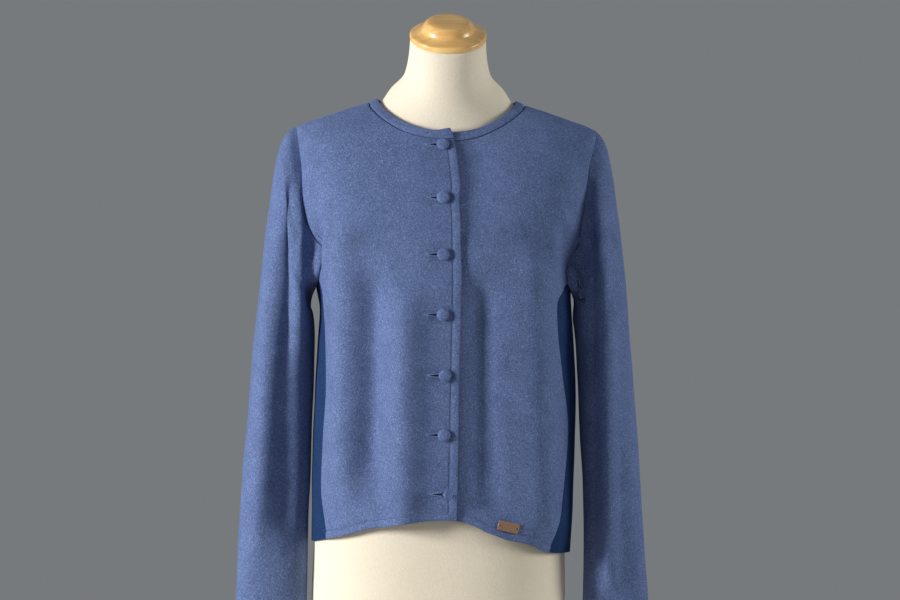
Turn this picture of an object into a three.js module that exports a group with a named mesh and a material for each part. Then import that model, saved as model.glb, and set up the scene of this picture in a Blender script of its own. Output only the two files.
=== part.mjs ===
// A knit cardigan buttoned on a limbless dress form. Millimetres, +Z up.
// The origin is the centre of the form's flat underside, the front faces -Y,
// and +X is the wearer's left. Every cloth piece is an open wall of boiled wool.
import * as THREE from 'three';

// ---- Driving dimensions ----
const WALL = 2.2; // thickness of the boiled wool
const SEAM_GAP = 0.3; // between neighbouring pieces
const LAP_LIFT = 1.6; // each front's offset where the two lie on each other
const LAP_FLAT = 26; // half width of the overlap
const LAP_FADE = 62; // distance from the centre where the overlap has faded out

// Level loops of the cardigan's body, from the hem to the neck edge. side, front and back are
// heights, left and right half widths as seen from the front, fore and aft the distances of the
// front and back from the plane y = 0, mid is the side line's y, square the corner exponent and
// fall how the height changes towards the centres.
const HEM = 0;
const UNDERARM = 6;
const SHOULDER = 11;
const BAND_SEAM = 14;
const NECK_EDGE = 15;
const BAND_START = 14.07; // the neckband's first station, a seam's gap above the panels
const BODY_LOOPS = [
  { side: 160, front: 198, back: 155, left: 166, right: 170, fore: 121, aft: 113, mid: 0, square: 2.3, fall: 5 },
  { side: 222, front: 238, back: 220, left: 166.5, right: 172.5, fore: 121, aft: 111, mid: 0, square: 2.3, fall: 5 },
  { side: 290, front: 294, back: 290, left: 166.5, right: 173.6, fore: 123, aft: 108, mid: 0, square: 2.3, fall: 5 },
  { side: 355, front: 355, back: 355, left: 165, right: 174.2, fore: 126, aft: 106, mid: 0, square: 2.3, fall: 5 },
  { side: 425, front: 425, back: 425, left: 162.5, right: 170.3, fore: 129, aft: 106, mid: 0, square: 2.3, fall: 4.5 },
  { side: 464, front: 464, back: 464, left: 160.5, right: 166.8, fore: 131, aft: 107, mid: 0, square: 2.3, fall: 4 },
  { side: 497, front: 500, back: 500, left: 166, right: 165, fore: 131, aft: 108, mid: 0, square: 2.3, fall: 4 },
  { side: 540, front: 528, back: 530, left: 173, right: 172, fore: 129, aft: 108, mid: 0, square: 2.3, fall: 3.6 },
  { side: 581, front: 555, back: 560, left: 192, right: 188, fore: 126, aft: 108, mid: 1, square: 2.3, fall: 3.2 },
  { side: 620, front: 582, back: 590, left: 194, right: 192, fore: 120, aft: 106, mid: 2, square: 2.3, fall: 2.9 },
  { side: 660, front: 609, back: 620, left: 196, right: 195.5, fore: 112, aft: 102, mid: 3, square: 2.3, fall: 2.7 },
  { side: 702, front: 636, back: 650, left: 194.6, right: 196, fore: 103, aft: 95, mid: 4, square: 2, fall: 2.4 },
  { side: 715.7, front: 654, back: 673, left: 162, right: 163, fore: 94, aft: 85, mid: 5, square: 2, fall: 2.3 },
  { side: 727, front: 672, back: 696, left: 130, right: 130.5, fore: 84, aft: 73, mid: 7, square: 2, fall: 1.9 },
  { side: 736.5, front: 688, back: 717, left: 101.5, right: 101.5, fore: 74, aft: 60, mid: 8, square: 2.1, fall: 1.6 },
  { side: 741.5, front: 699, back: 727, left: 90, right: 90, fore: 68.5, aft: 53, mid: 8, square: 2, fall: 1.4 },
];

// How far the fronts' hem lies above the lowest loop at each x. Behind, this dies away from the sides.
const HEM_SHAPE = [
  { x: -166, up: 5.4 }, { x: -147, up: 8.5 }, { x: -102, up: 7 }, { x: -56, up: -1.5 }, { x: -36, up: -2.6 },
  { x: 0, up: -1.2 }, { x: 22, up: -0.6 }, { x: 43, up: -3 }, { x: 63, up: -7.5 }, { x: 84, up: -8 },
  { x: 105, up: -4.5 }, { x: 121, up: -3 }, { x: 131, up: -5.7 }, { x: 170, up: -3.2 },
];
const HEM_SHAPE_END = 2; // station up to which the cloth follows the hem's shape
const HEM_SHAPE_BEHIND = 6; // how fast it dies away behind
const SHOULDER_LEVEL = 19; // evens out the rise of the shoulder line beside the sleeve's seam
const SHOULDER_NEAR = 8; // how fast this dies away before and behind the shoulder line

// The dress form's loops, from its flat underside to the sloping top of its neck.
const FORM_LOOPS = [
  { side: 0, front: 0, back: 0, half: 156, fore: 102, aft: 100, mid: 0, square: 2.3, fall: 1 },
  { side: 7, front: 7, back: 7, half: 161, fore: 107, aft: 105, mid: 0, square: 2.3, fall: 1 },
  { side: 90, front: 90, back: 90, half: 164.6, fore: 110, aft: 109, mid: 0, square: 2.3, fall: 1 },
  { side: 165, front: 165, back: 165, half: 162.6, fore: 109, aft: 107, mid: 0, square: 2.3, fall: 1 },
  { side: 240, front: 240, back: 240, half: 157, fore: 106, aft: 102, mid: 0, square: 2.3, fall: 1 },
  { side: 300, front: 300, back: 300, half: 145, fore: 101, aft: 94, mid: 0, square: 2.3, fall: 1 },
  { side: 365, front: 365, back: 365, half: 129, fore: 95, aft: 82, mid: 0, square: 2.2, fall: 1 },
  { side: 425, front: 425, back: 425, half: 134, fore: 105, aft: 88, mid: 0, square: 2.2, fall: 2 },
  { side: 470, front: 470, back: 470, half: 143, fore: 118, aft: 95, mid: 0, square: 2.2, fall: 3 },
  { side: 500, front: 497, back: 500, half: 150, fore: 123, aft: 99, mid: 0, square: 2.2, fall: 3.5 },
  { side: 560, front: 537, back: 545, half: 160, fore: 121, aft: 101, mid: 0, square: 2.2, fall: 3.3 },
  { side: 620, front: 577, back: 586, half: 168, fore: 115, aft: 100, mid: 2, square: 2.2, fall: 2.9 },
  { side: 667, front: 609, back: 620, half: 171, fore: 104, aft: 94, mid: 3, square: 2.2, fall: 2.7 },
  { side: 691, front: 629, back: 645, half: 167, fore: 97, aft: 88.5, mid: 4, square: 2.2, fall: 2.5 },
  { side: 707, front: 648, back: 667, half: 150, fore: 88.5, aft: 79.5, mid: 5, square: 2.2, fall: 2.4 },
  { side: 720, front: 666, back: 689, half: 121, fore: 79, aft: 68.5, mid: 7, square: 2.1, fall: 2.05 },
  { side: 730.5, front: 681.5, back: 710.5, half: 97, fore: 69.5, aft: 55, mid: 8, square: 2.1, fall: 1.7 },
  { side: 736, front: 692.5, back: 721, half: 87, fore: 63, aft: 47.5, mid: 8, square: 2, fall: 1.5 },
  { side: 756, front: 716, back: 738, half: 72.5, fore: 57, aft: 44, mid: 5, square: 2, fall: 1.4 },
  { side: 775, front: 742, back: 768, half: 55.5, fore: 55, aft: 39, mid: -2, square: 2, fall: 1.2 },
  { side: 800, front: 773, back: 808, half: 50.4, fore: 58, aft: 33, mid: -11, square: 2, fall: 1 },
  { side: 819.5, front: 799, back: 840, half: 49, fore: 60.4, aft: 28.4, mid: -16, square: 2, fall: 1 },
];
const FORM_SIDES = 28;
const FORM_STEPS = 30;
const BODY_ROUNDING = 1.7; // stations over which a crease between loops is rounded
const FORM_ROUNDING = 0.7;
const ROUNDING_FULL = 0.5; // cosine of the angle from which on the rounding is full
const ROUNDING_SAMPLES = [ // shift along the rounding, and weight
  [-1, 1], [-0.5, 2], [0, 3], [0.5, 2], [1, 1],
];
const ROUNDING_TOTAL = 9;
const ROUNDING_REACH = 0.8; // the most of the way to an end that the rounding takes

// Seams of the body, seen from the front: the distance x from the middle at each height.
const LEFT_PANEL_SEAM = [
  { z: 165, x: 146.5 }, { z: 229, x: 154 }, { z: 298, x: 152.5 }, { z: 368, x: 147 },
  { z: 450, x: 149 }, { z: 485, x: 154 }, { z: 503, x: 161 },
];
const RIGHT_PANEL_SEAM = [
  { z: 161, x: 141 }, { z: 229, x: 153 }, { z: 319, x: 163 }, { z: 400, x: 152 },
  { z: 477, x: 141 }, { z: 503, x: 159.5 },
];
const LEFT_ARMHOLE = [
  { z: 503, x: 161 }, { z: 520, x: 158.5 }, { z: 538, x: 160 }, { z: 555, x: 171 }, { z: 567, x: 178.5 },
  { z: 581, x: 184 }, { z: 619, x: 185.5 }, { z: 674, x: 191.7 }, { z: 702, x: 194.6 },
];
const RIGHT_ARMHOLE = [
  { z: 503, x: 159.5 }, { z: 525, x: 162 }, { z: 540, x: 167.5 }, { z: 556, x: 174.5 }, { z: 571, x: 178.5 },
  { z: 594, x: 181 }, { z: 621, x: 183 }, { z: 671, x: 190 }, { z: 702, x: 196 },
];
const TOP_EDGE = [
  { z: 198, x: 22.2 }, { z: 455, x: 22.6 }, { z: 579, x: 21 }, { z: 620, x: 19.6 }, { z: 651, x: 16.2 },
  { z: 688, x: 10 }, { z: 699, x: 5 },
];
const UNDER_EDGE_X = -16; // the hidden edge of the front that lies beneath
const PANEL_JOINT = 6.15; // station where the side panel's seams meet the armhole
const BACK_SEAM_ANGLE = THREE.MathUtils.degToRad(114);
const BACK_SEAM_BLEND = 1.2; // stations below the joint over which the back seam leaves the armhole

// Small steps over which directions on the body are measured, in stations and radians.
const STATION_STEP = 0.04;
const TURN_STEP = 0.012;

// Stations of the body's rows, shared by all of its panels so that seams run side by side.
const BODY_ROWS = [
  HEM, 0.5, 1, 1.5, 2, 2.5, 3, 3.5, 4, 4.5, 5, 5.6, PANEL_JOINT, 6.6, 7, 7.35, 7.7, 8, 8.6,
  9.3, 10, 10.5, 10.8, SHOULDER, 12, 13, BAND_SEAM,
];
const FRONT_COLUMNS = 15;
const BACK_COLUMNS = 20;
const SIDE_COLUMNS = 5;
const BAND_COLUMNS = 44;

// Sleeve rings, from the armhole to the cuff, seen from the front: the outer and inner points,
// and half the depth and its middle from front to back.
const SLEEVE_RINGS = {
  left: [
    { outX: 194.6, outZ: 702, inX: 166, inZ: 497, deep: 52, mid: 0 },
    { outX: 203.5, outZ: 698.5, inX: 169, inZ: 490.5, deep: 56, mid: 0 },
    { outX: 212.5, outZ: 685, inX: 171, inZ: 484.5, deep: 59, mid: 0 },
    { outX: 220, outZ: 661, inX: 172, inZ: 478, deep: 61, mid: -1 },
    { outX: 226, outZ: 619, inX: 172.3, inZ: 470, deep: 62, mid: -2 },
    { outX: 232, outZ: 571, inX: 169, inZ: 460, deep: 62, mid: -3 },
    { outX: 237, outZ: 518, inX: 167, inZ: 446, deep: 60, mid: -4 },
    { outX: 242, outZ: 466, inX: 166, inZ: 426, deep: 57, mid: -5 },
    { outX: 246.5, outZ: 414, inX: 166.2, inZ: 395, deep: 53, mid: -6 },
    { outX: 249.5, outZ: 362, inX: 166.8, inZ: 353, deep: 49, mid: -7 },
    { outX: 252.5, outZ: 310, inX: 168, inZ: 306, deep: 45, mid: -8 },
    { outX: 257, outZ: 258, inX: 168.8, inZ: 257, deep: 41, mid: -9 },
    { outX: 259, outZ: 206, inX: 170, inZ: 206, deep: 38, mid: -10 },
    { outX: 261.5, outZ: 154, inX: 170.5, inZ: 154, deep: 35, mid: -11 },
    { outX: 262.5, outZ: 108, inX: 170.5, inZ: 108, deep: 33, mid: -12 },
    { outX: 263, outZ: 68, inX: 170.5, inZ: 68, deep: 32, mid: -12 },
  ],
  right: [
    { outX: 196, outZ: 702, inX: 164, inZ: 497, deep: 52, mid: 0 },
    { outX: 202.5, outZ: 695.5, inX: 166.5, inZ: 490.5, deep: 53, mid: 0 },
    { outX: 209, outZ: 682.5, inX: 168.5, inZ: 484.5, deep: 54, mid: 0 },
    { outX: 216, outZ: 654, inX: 169, inZ: 478, deep: 55.5, mid: -1 },
    { outX: 223, outZ: 608, inX: 168.6, inZ: 470, deep: 57.5, mid: -2 },
    { outX: 230, outZ: 559, inX: 168.4, inZ: 460, deep: 59, mid: -3 },
    { outX: 236, outZ: 509, inX: 170.3, inZ: 446, deep: 59, mid: -4 },
    { outX: 241, outZ: 458, inX: 172.4, inZ: 426, deep: 57, mid: -5 },
    { outX: 245.5, outZ: 408, inX: 174.6, inZ: 395, deep: 53, mid: -6 },
    { outX: 250, outZ: 358, inX: 177.4, inZ: 353, deep: 49, mid: -7 },
    { outX: 255, outZ: 308, inX: 180, inZ: 306, deep: 45, mid: -8 },
    { outX: 259, outZ: 257, inX: 184, inZ: 257, deep: 41, mid: -9 },
    { outX: 263, outZ: 206, inX: 186.5, inZ: 206, deep: 38, mid: -10 },
    { outX: 267.5, outZ: 154, inX: 187.5, inZ: 154, deep: 35, mid: -11 },
    { outX: 271.5, outZ: 108, inX: 187.5, inZ: 108, deep: 33, mid: -12 },
    { outX: 274, outZ: 68, inX: 187.5, inZ: 68, deep: 32, mid: -12 },
  ],
};
const SLEEVE_SQUARE = 2.15; // corner exponent of the rings
const SLEEVE_BEND_POWER = 1.3; // how late round the armhole the sleeve turns square to the body
const SLEEVE_FOLD_GROW = 2; // rings over which the folds grow from the armhole
const SLEEVE_FOLD_FADE = 0.5; // folds die away towards the outer and inner lines
const ARMHOLE_FADE = 5; // rings over which the armhole's own outline fades out
const SLEEVE_STATIONS = [0, 0.5, 1, 2, 3, 4, 5, 6, 7, 8, 9, 10, 11, 12, 13, 14, 15];

// Main folds, seen from the front or the back: each runs from its upper to its lower end.
// A height above zero is a ridge and one below is a trough, width is the half width.
const BODY_FOLDS = {
  front: [
    { x1: -130, z1: 600, x2: -124, z2: 200, width: 20, height: 12 },
    { x1: -93, z1: 530, x2: -90, z2: 230, width: 17, height: -11 },
    { x1: -48, z1: 510, x2: -45, z2: 140, width: 22, height: 14 },
    { x1: -150, z1: 605, x2: -151, z2: 485, width: 8, height: 6 },
    { x1: -161, z1: 605, x2: -161, z2: 500, width: 8, height: -7 },
    { x1: 50, z1: 530, x2: 62, z2: 185, width: 20, height: -9 },
    { x1: 112, z1: 570, x2: 134, z2: 150, width: 28, height: 15 },
    { x1: 141, z1: 605, x2: 140, z2: 485, width: 9, height: 4 },
    { x1: 160, z1: 605, x2: 157, z2: 485, width: 12, height: -8 },
    { x1: 138, z1: 613, x2: 170, z2: 566, width: 6, height: 3 },
  ],
  back: [
    { x1: -118, z1: 590, x2: -100, z2: 160, width: 20, height: 6.5 },
    { x1: -60, z1: 470, x2: -52, z2: 210, width: 18, height: -5 },
    { x1: -8, z1: 430, x2: 4, z2: 150, width: 20, height: 5.5 },
    { x1: 66, z1: 500, x2: 58, z2: 220, width: 18, height: -5.5 },
    { x1: 120, z1: 600, x2: 104, z2: 150, width: 19, height: 7 },
  ],
};
const SLEEVE_FOLDS = {
  left: {
    front: [
      { x1: -193, z1: 650, x2: -179, z2: 370, width: 10, height: 5 },
      { x1: -206, z1: 650, x2: -200, z2: 150, width: 22, height: -11 },
      { x1: -222, z1: 600, x2: -238, z2: 120, width: 12, height: 4 },
    ],
    back: [
      { x1: -212, z1: 600, x2: -206, z2: 300, width: 15, height: -7 },
      { x1: -236, z1: 420, x2: -232, z2: 130, width: 13, height: 5 },
    ],
  },
  right: {
    front: [
      { x1: 195, z1: 655, x2: 210, z2: 450, width: 9, height: 8 },
      { x1: 210, z1: 475, x2: 223, z2: 90, width: 11, height: 12 },
      { x1: 190, z1: 610, x2: 192, z2: 350, width: 13, height: -8 },
      { x1: 196, z1: 380, x2: 200, z2: 120, width: 13, height: -5 },
      { x1: 235, z1: 420, x2: 236, z2: 340, width: 10, height: -2.5 },
    ],
    back: [
      { x1: 214, z1: 610, x2: 208, z2: 320, width: 15, height: -7 },
      { x1: 238, z1: 440, x2: 240, z2: 140, width: 13, height: 5 },
    ],
  },
};
const FOLD_END = 55; // length over which a fold's end dies away
const FOLD_SIDE_FADE = 0.25; // folds die away towards the side line, as a share of the half depth

// Small pieces.
const BUTTONS = [
  { x: -4.2, z: 680.4, turn: 0 },
  { x: -3.1, z: 612, turn: 0 },
  { x: -1.1, z: 539, turn: 0 },
  { x: -0.2, z: 461.8, turn: 0 },
  { x: 3.8, z: 383.7, turn: 0 },
  { x: 3.8, z: 307, turn: 0 },
  { x: 9.3, z: 230.7, turn: 50 },
];
const BUTTON_RADIUS = 8.3;
const BUTTON_DOME = 4.6;
const BUTTON_SHANK_RADIUS = 2;
const BUTTON_LIFT = 0.9; // between the cloth and the shank
const BUTTON_SINK = 0.2; // the least length of a shank
const BUTTON_SIDES = 12;
const LABEL = { x: 87.7, z: 190, width: 26, height: 13, tilt: -12, thick: 1.2, lift: 0.95 };
const CAP = { y: -16, z: 819.8, tilt: 25, flange: 50, edge: 7.8, foot: 35, height: 25.5, top: 27, sides: 30 };

// ---- Helpers ----

// A smooth curve through one column of a table, with no overshoot between its rows.
function follow(rows, column, station = null) {
  const at = rows.map((row, i) => (station ? row[station] : i));
  const value = rows.map((row) => row[column]);
  const slope = value.slice(1).map((v, i) => (v - value[i]) / (at[i + 1] - at[i]));
  const tangent = value.map((_, i) => {
    const before = slope[Math.max(i - 1, 0)];
    const after = slope[Math.min(i, slope.length - 1)];
    return before * after <= 0 ? 0 : (2 * before * after) / (before + after);
  });
  return (s) => {
    const inside = THREE.MathUtils.clamp(s, at[0], at[at.length - 1]);
    let i = 0;
    while (i < slope.length - 1 && inside > at[i + 1]) i += 1;
    const step = at[i + 1] - at[i];
    const u = (inside - at[i]) / step;
    const rise = value[i + 1] - value[i];
    const bend = step * tangent[i] - rise;
    const turn = -step * tangent[i + 1] + rise;
    return value[i] + u * rise + u * (1 - u) * ((1 - u) * bend + u * turn);
  };
}

function followAll(rows) {
  return Object.fromEntries(Object.keys(rows[0]).map((column) => [column, follow(rows, column)]));
}

function sample(curves, station) {
  return Object.fromEntries(Object.entries(curves).map(([column, curve]) => [column, curve(station)]));
}

// The point of a loop at an angle from the front, growing towards +X.
function loopPoint(loop, angle) {
  const across = Math.sin(angle);
  const ahead = Math.cos(angle);
  const round = 2 / loop.square;
  const half = loop.half ?? (across < 0 ? loop.left : loop.right);
  const reach = ahead > 0 ? -loop.fore - loop.mid : loop.aft - loop.mid;
  const level = ahead > 0 ? loop.front : loop.back;
  return new THREE.Vector3(
    Math.sign(across) * half * Math.abs(across) ** round,
    loop.mid + reach * Math.abs(ahead) ** round,
    loop.side + (level - loop.side) * Math.abs(ahead) ** loop.fall,
  );
}

// The loops' surface with its creases rounded off away from the side line, by averaging along it.
function roundedPoint(curves, station, angle, last, rounding) {
  const spread = Math.min(
    rounding * THREE.MathUtils.smoothstep(Math.abs(Math.cos(angle)), 0, ROUNDING_FULL),
    ROUNDING_REACH * station,
    ROUNDING_REACH * (last - station),
  );
  const point = new THREE.Vector3();
  for (const [shift, weight] of ROUNDING_SAMPLES) {
    const share = weight / ROUNDING_TOTAL;
    point.addScaledVector(loopPoint(sample(curves, station + shift * spread), angle), share);
  }
  return point;
}

// How far the folds of a list lift the cloth at a place seen in elevation.
function foldLift(folds, x, z) {
  return folds.reduce((sum, fold) => {
    const along = new THREE.Vector2(fold.x2 - fold.x1, fold.z2 - fold.z1);
    const length = along.length();
    along.divideScalar(length);
    const place = new THREE.Vector2(x - fold.x1, z - fold.z1);
    const run = place.dot(along);
    const off = place.cross(along) / fold.width;
    const end = Math.min(FOLD_END, length / 2);
    const fade = THREE.MathUtils.smoothstep(run, 0, end) * THREE.MathUtils.smoothstep(length - run, 0, end);
    return sum + fold.height * Math.exp(-off * off) * fade;
  }, 0);
}

// A closed solid from corner points and faces of three or four corners, its faces turned outwards.
function solid(points, faces) {
  const index = faces.flatMap(([a, b, c, d]) => (d === undefined ? [a, b, c] : [a, b, c, a, c, d]));
  let volume = 0;
  const normal = new THREE.Vector3();
  for (let i = 0; i < index.length; i += 3) {
    normal.crossVectors(points[index[i + 1]], points[index[i + 2]]);
    volume += points[index[i]].dot(normal);
  }
  if (volume < 0) index.reverse();
  const geometry = new THREE.BufferGeometry();
  geometry.setAttribute('position', new THREE.Float32BufferAttribute(points.flatMap((p) => p.toArray()), 3));
  geometry.setIndex(index);
  geometry.computeVertexNormals();
  return geometry;
}

// A wall between two grids of points, [row][column]. A round wall joins its last column to its first.
function wall(outer, inner, round = false) {
  const rows = outer.length;
  const columns = outer[0].length;
  const points = [...outer.flat(), ...inner.flat()];
  const at = (layer, row, column) => (layer * rows + row) * columns + (column % columns);
  const steps = round ? columns : columns - 1;
  const faces = [];
  for (let column = 0; column < steps; column += 1) {
    for (let row = 0; row < rows - 1; row += 1) {
      faces.push([at(0, row, column), at(0, row, column + 1), at(0, row + 1, column + 1), at(0, row + 1, column)]);
      faces.push([at(1, row, column), at(1, row + 1, column), at(1, row + 1, column + 1), at(1, row, column + 1)]);
    }
    faces.push([at(0, 0, column), at(1, 0, column), at(1, 0, column + 1), at(0, 0, column + 1)]);
    const top = rows - 1;
    faces.push([at(0, top, column), at(0, top, column + 1), at(1, top, column + 1), at(1, top, column)]);
  }
  for (let row = 0; row < rows - 1 && !round; row += 1) {
    const end = columns - 1;
    faces.push([at(0, row, 0), at(0, row + 1, 0), at(1, row + 1, 0), at(1, row, 0)]);
    faces.push([at(0, row, end), at(1, row, end), at(1, row + 1, end), at(0, row + 1, end)]);
  }
  return solid(points, faces);
}

function named(name, geometry, material) {
  const mesh = new THREE.Mesh(geometry, material);
  mesh.name = name;
  return mesh;
}

// ---- The cloth surface of the body ----

const bodyCurves = followAll(BODY_LOOPS);

const hemShape = follow(HEM_SHAPE, 'up', 'x');

function bodyPoint(station, angle) {
  const point = roundedPoint(bodyCurves, station, angle, NECK_EDGE, BODY_ROUNDING);
  const round = Math.cos(angle) > 0 ? 1 : Math.abs(Math.sin(angle)) ** HEM_SHAPE_BEHIND;
  const fade = 1 - THREE.MathUtils.smoothstep(station, HEM, HEM_SHAPE_END);
  point.z += round * fade * hemShape(point.x);
  const beside = THREE.MathUtils.clamp(station - SHOULDER, 0, 1);
  point.z -= SHOULDER_LEVEL * beside * (1 - beside) ** 3 * Math.abs(Math.sin(angle)) ** SHOULDER_NEAR;
  return point;
}

function bodyNormal(station, angle) {
  const high = Math.min(station + STATION_STEP, NECK_EDGE);
  const low = Math.max(station - STATION_STEP, HEM);
  const upward = bodyPoint(high, angle).sub(bodyPoint(low, angle));
  const around = bodyPoint(station, angle + TURN_STEP).sub(bodyPoint(station, angle - TURN_STEP));
  return around.cross(upward).normalize();
}

// The outer face, its folds and the offset of the overlap included. lap is 1 above, -1 beneath.
function clothPoint(station, angle, lap = 0, depth = 0) {
  const point = bodyPoint(station, angle);
  const ahead = Math.cos(angle);
  const folds = ahead > 0 ? BODY_FOLDS.front : BODY_FOLDS.back;
  const sideFade = THREE.MathUtils.smoothstep(Math.abs(ahead), 0, FOLD_SIDE_FADE);
  const overlap = 1 - THREE.MathUtils.smoothstep(Math.abs(point.x), LAP_FLAT, LAP_FADE);
  const lift = sideFade * foldLift(folds, point.x, point.z) + lap * LAP_LIFT * overlap;
  return point.addScaledVector(bodyNormal(station, angle), lift - depth);
}

// The direction the outer face looks in, its folds included.
function clothNormal(station, angle, lap) {
  const upward = clothPoint(station + STATION_STEP, angle, lap).sub(clothPoint(station - STATION_STEP, angle, lap));
  const around = clothPoint(station, angle + TURN_STEP, lap).sub(clothPoint(station, angle - TURN_STEP, lap));
  return around.cross(upward).normalize();
}

// The angle on a station's loop whose x, seen from the front, is what a seam gives at its height.
function angleOn(station, seam, side) {
  const loop = sample(bodyCurves, station);
  let angle = (side * Math.PI) / 3;
  for (let pass = 0; pass < 12; pass += 1) {
    const x = seam(loopPoint(loop, angle).z);
    const share = Math.abs(x) / (side * x < 0 || side < 0 ? loop.left : loop.right);
    const turn = Math.asin(Math.min(share, 1) ** (loop.square / 2));
    angle = side * Math.sign(x) * turn;
  }
  return angle;
}

const seams = {
  left: { side: -1, panel: follow(LEFT_PANEL_SEAM, 'x', 'z'), armhole: follow(LEFT_ARMHOLE, 'x', 'z') },
  right: { side: 1, panel: follow(RIGHT_PANEL_SEAM, 'x', 'z'), armhole: follow(RIGHT_ARMHOLE, 'x', 'z') },
};
const topEdge = follow(TOP_EDGE, 'x', 'z');

// Where a front ends at a station: its panel seam, then the armhole, then the shoulder seam.
function frontLimit(station, { side, panel, armhole }) {
  if (station >= SHOULDER) return (side * Math.PI) / 2;
  return angleOn(station, station <= PANEL_JOINT ? panel : armhole, side);
}

function backLimit(station, seam) {
  if (station >= SHOULDER) return (seam.side * Math.PI) / 2;
  const mirrored = Math.PI - Math.abs(frontLimit(Math.max(station, PANEL_JOINT), seam));
  const below = THREE.MathUtils.smoothstep(PANEL_JOINT - station, 0, BACK_SEAM_BLEND);
  return seam.side * THREE.MathUtils.lerp(mirrored, BACK_SEAM_ANGLE, below);
}

// Moves an angle towards another by a distance along the cloth.
function inset(station, angle, towards, distance) {
  const ahead = bodyPoint(station, angle + TURN_STEP);
  const speed = ahead.distanceTo(bodyPoint(station, angle - TURN_STEP)) / (2 * TURN_STEP);
  return angle + (Math.sign(towards - angle) * distance) / speed;
}

// A panel between two edges given as an angle at each station.
function panel(rows, columns, edges, lapOf = () => 0) {
  const grid = (depth) => rows.map((station) => {
    const [from, to] = edges(station);
    const start = inset(station, from, to, SEAM_GAP / 2);
    const end = inset(station, to, from, SEAM_GAP / 2);
    return Array.from({ length: columns + 1 }, (_, i) => {
      const angle = THREE.MathUtils.lerp(start, end, i / columns);
      return clothPoint(station, angle, lapOf(angle), depth);
    });
  });
  return wall(grid(0), grid(WALL));
}

// ---- Pieces ----

function rightFront() {
  const edges = (station) => [frontLimit(station, seams.left), angleOn(station, topEdge, 1)];
  return panel(BODY_ROWS, FRONT_COLUMNS, edges, () => 1);
}

function leftFront() {
  const hidden = () => UNDER_EDGE_X;
  const edges = (station) => [angleOn(station, hidden, 1), frontLimit(station, seams.right)];
  return panel(BODY_ROWS, FRONT_COLUMNS, edges, () => -1);
}

function backPanel() {
  const edges = (station) => [backLimit(station, seams.right), 2 * Math.PI + backLimit(station, seams.left)];
  return panel(BODY_ROWS, BACK_COLUMNS, edges);
}

// The top of a side panel dips from the panel seams to the underarm.
function sideTop(share) {
  return THREE.MathUtils.lerp(PANEL_JOINT, UNDERARM, Math.sin(share * Math.PI) ** 2);
}

function sidePanel(seam) {
  const rows = BODY_ROWS.filter((station) => station <= PANEL_JOINT);
  const grid = (depth) => rows.map((row) => Array.from({ length: SIDE_COLUMNS + 1 }, (_, i) => {
    const share = i / SIDE_COLUMNS;
    const station = (row * sideTop(share)) / PANEL_JOINT;
    const front = frontLimit(station, seam);
    const back = backLimit(station, seam);
    const start = inset(station, front, back, SEAM_GAP);
    const end = inset(station, back, front, SEAM_GAP);
    return clothPoint(station, THREE.MathUtils.lerp(start, end, share), 0, depth);
  }));
  return wall(grid(0), grid(WALL));
}

function neckband() {
  const rows = [BAND_START, (BAND_SEAM + NECK_EDGE) / 2, NECK_EDGE];
  const hidden = () => UNDER_EDGE_X;
  const edges = (station) => [angleOn(station, hidden, 1), 2 * Math.PI + angleOn(station, topEdge, 1)];
  const lapOf = (angle) => (angle > Math.PI ? 1 : -1);
  return panel(rows, BAND_COLUMNS, edges, lapOf);
}

// The armhole's edge, once round from the shoulder point down the front and up the back.
function armholeEdge(seam) {
  const rows = BODY_ROWS.filter((station) => station >= PANEL_JOINT && station <= SHOULDER);
  const front = rows.map((station) => [station, frontLimit(station, seam)]).reverse();
  const back = rows.slice(0, -1).map((station) => [station, backLimit(station, seam)]);
  const under = [];
  for (let i = 1; i < SIDE_COLUMNS; i += 1) {
    const share = i / SIDE_COLUMNS;
    const station = sideTop(share);
    const angle = THREE.MathUtils.lerp(frontLimit(station, seam), backLimit(station, seam), share);
    under.push([station, angle]);
  }
  return [...front, ...under, ...back];
}

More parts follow.
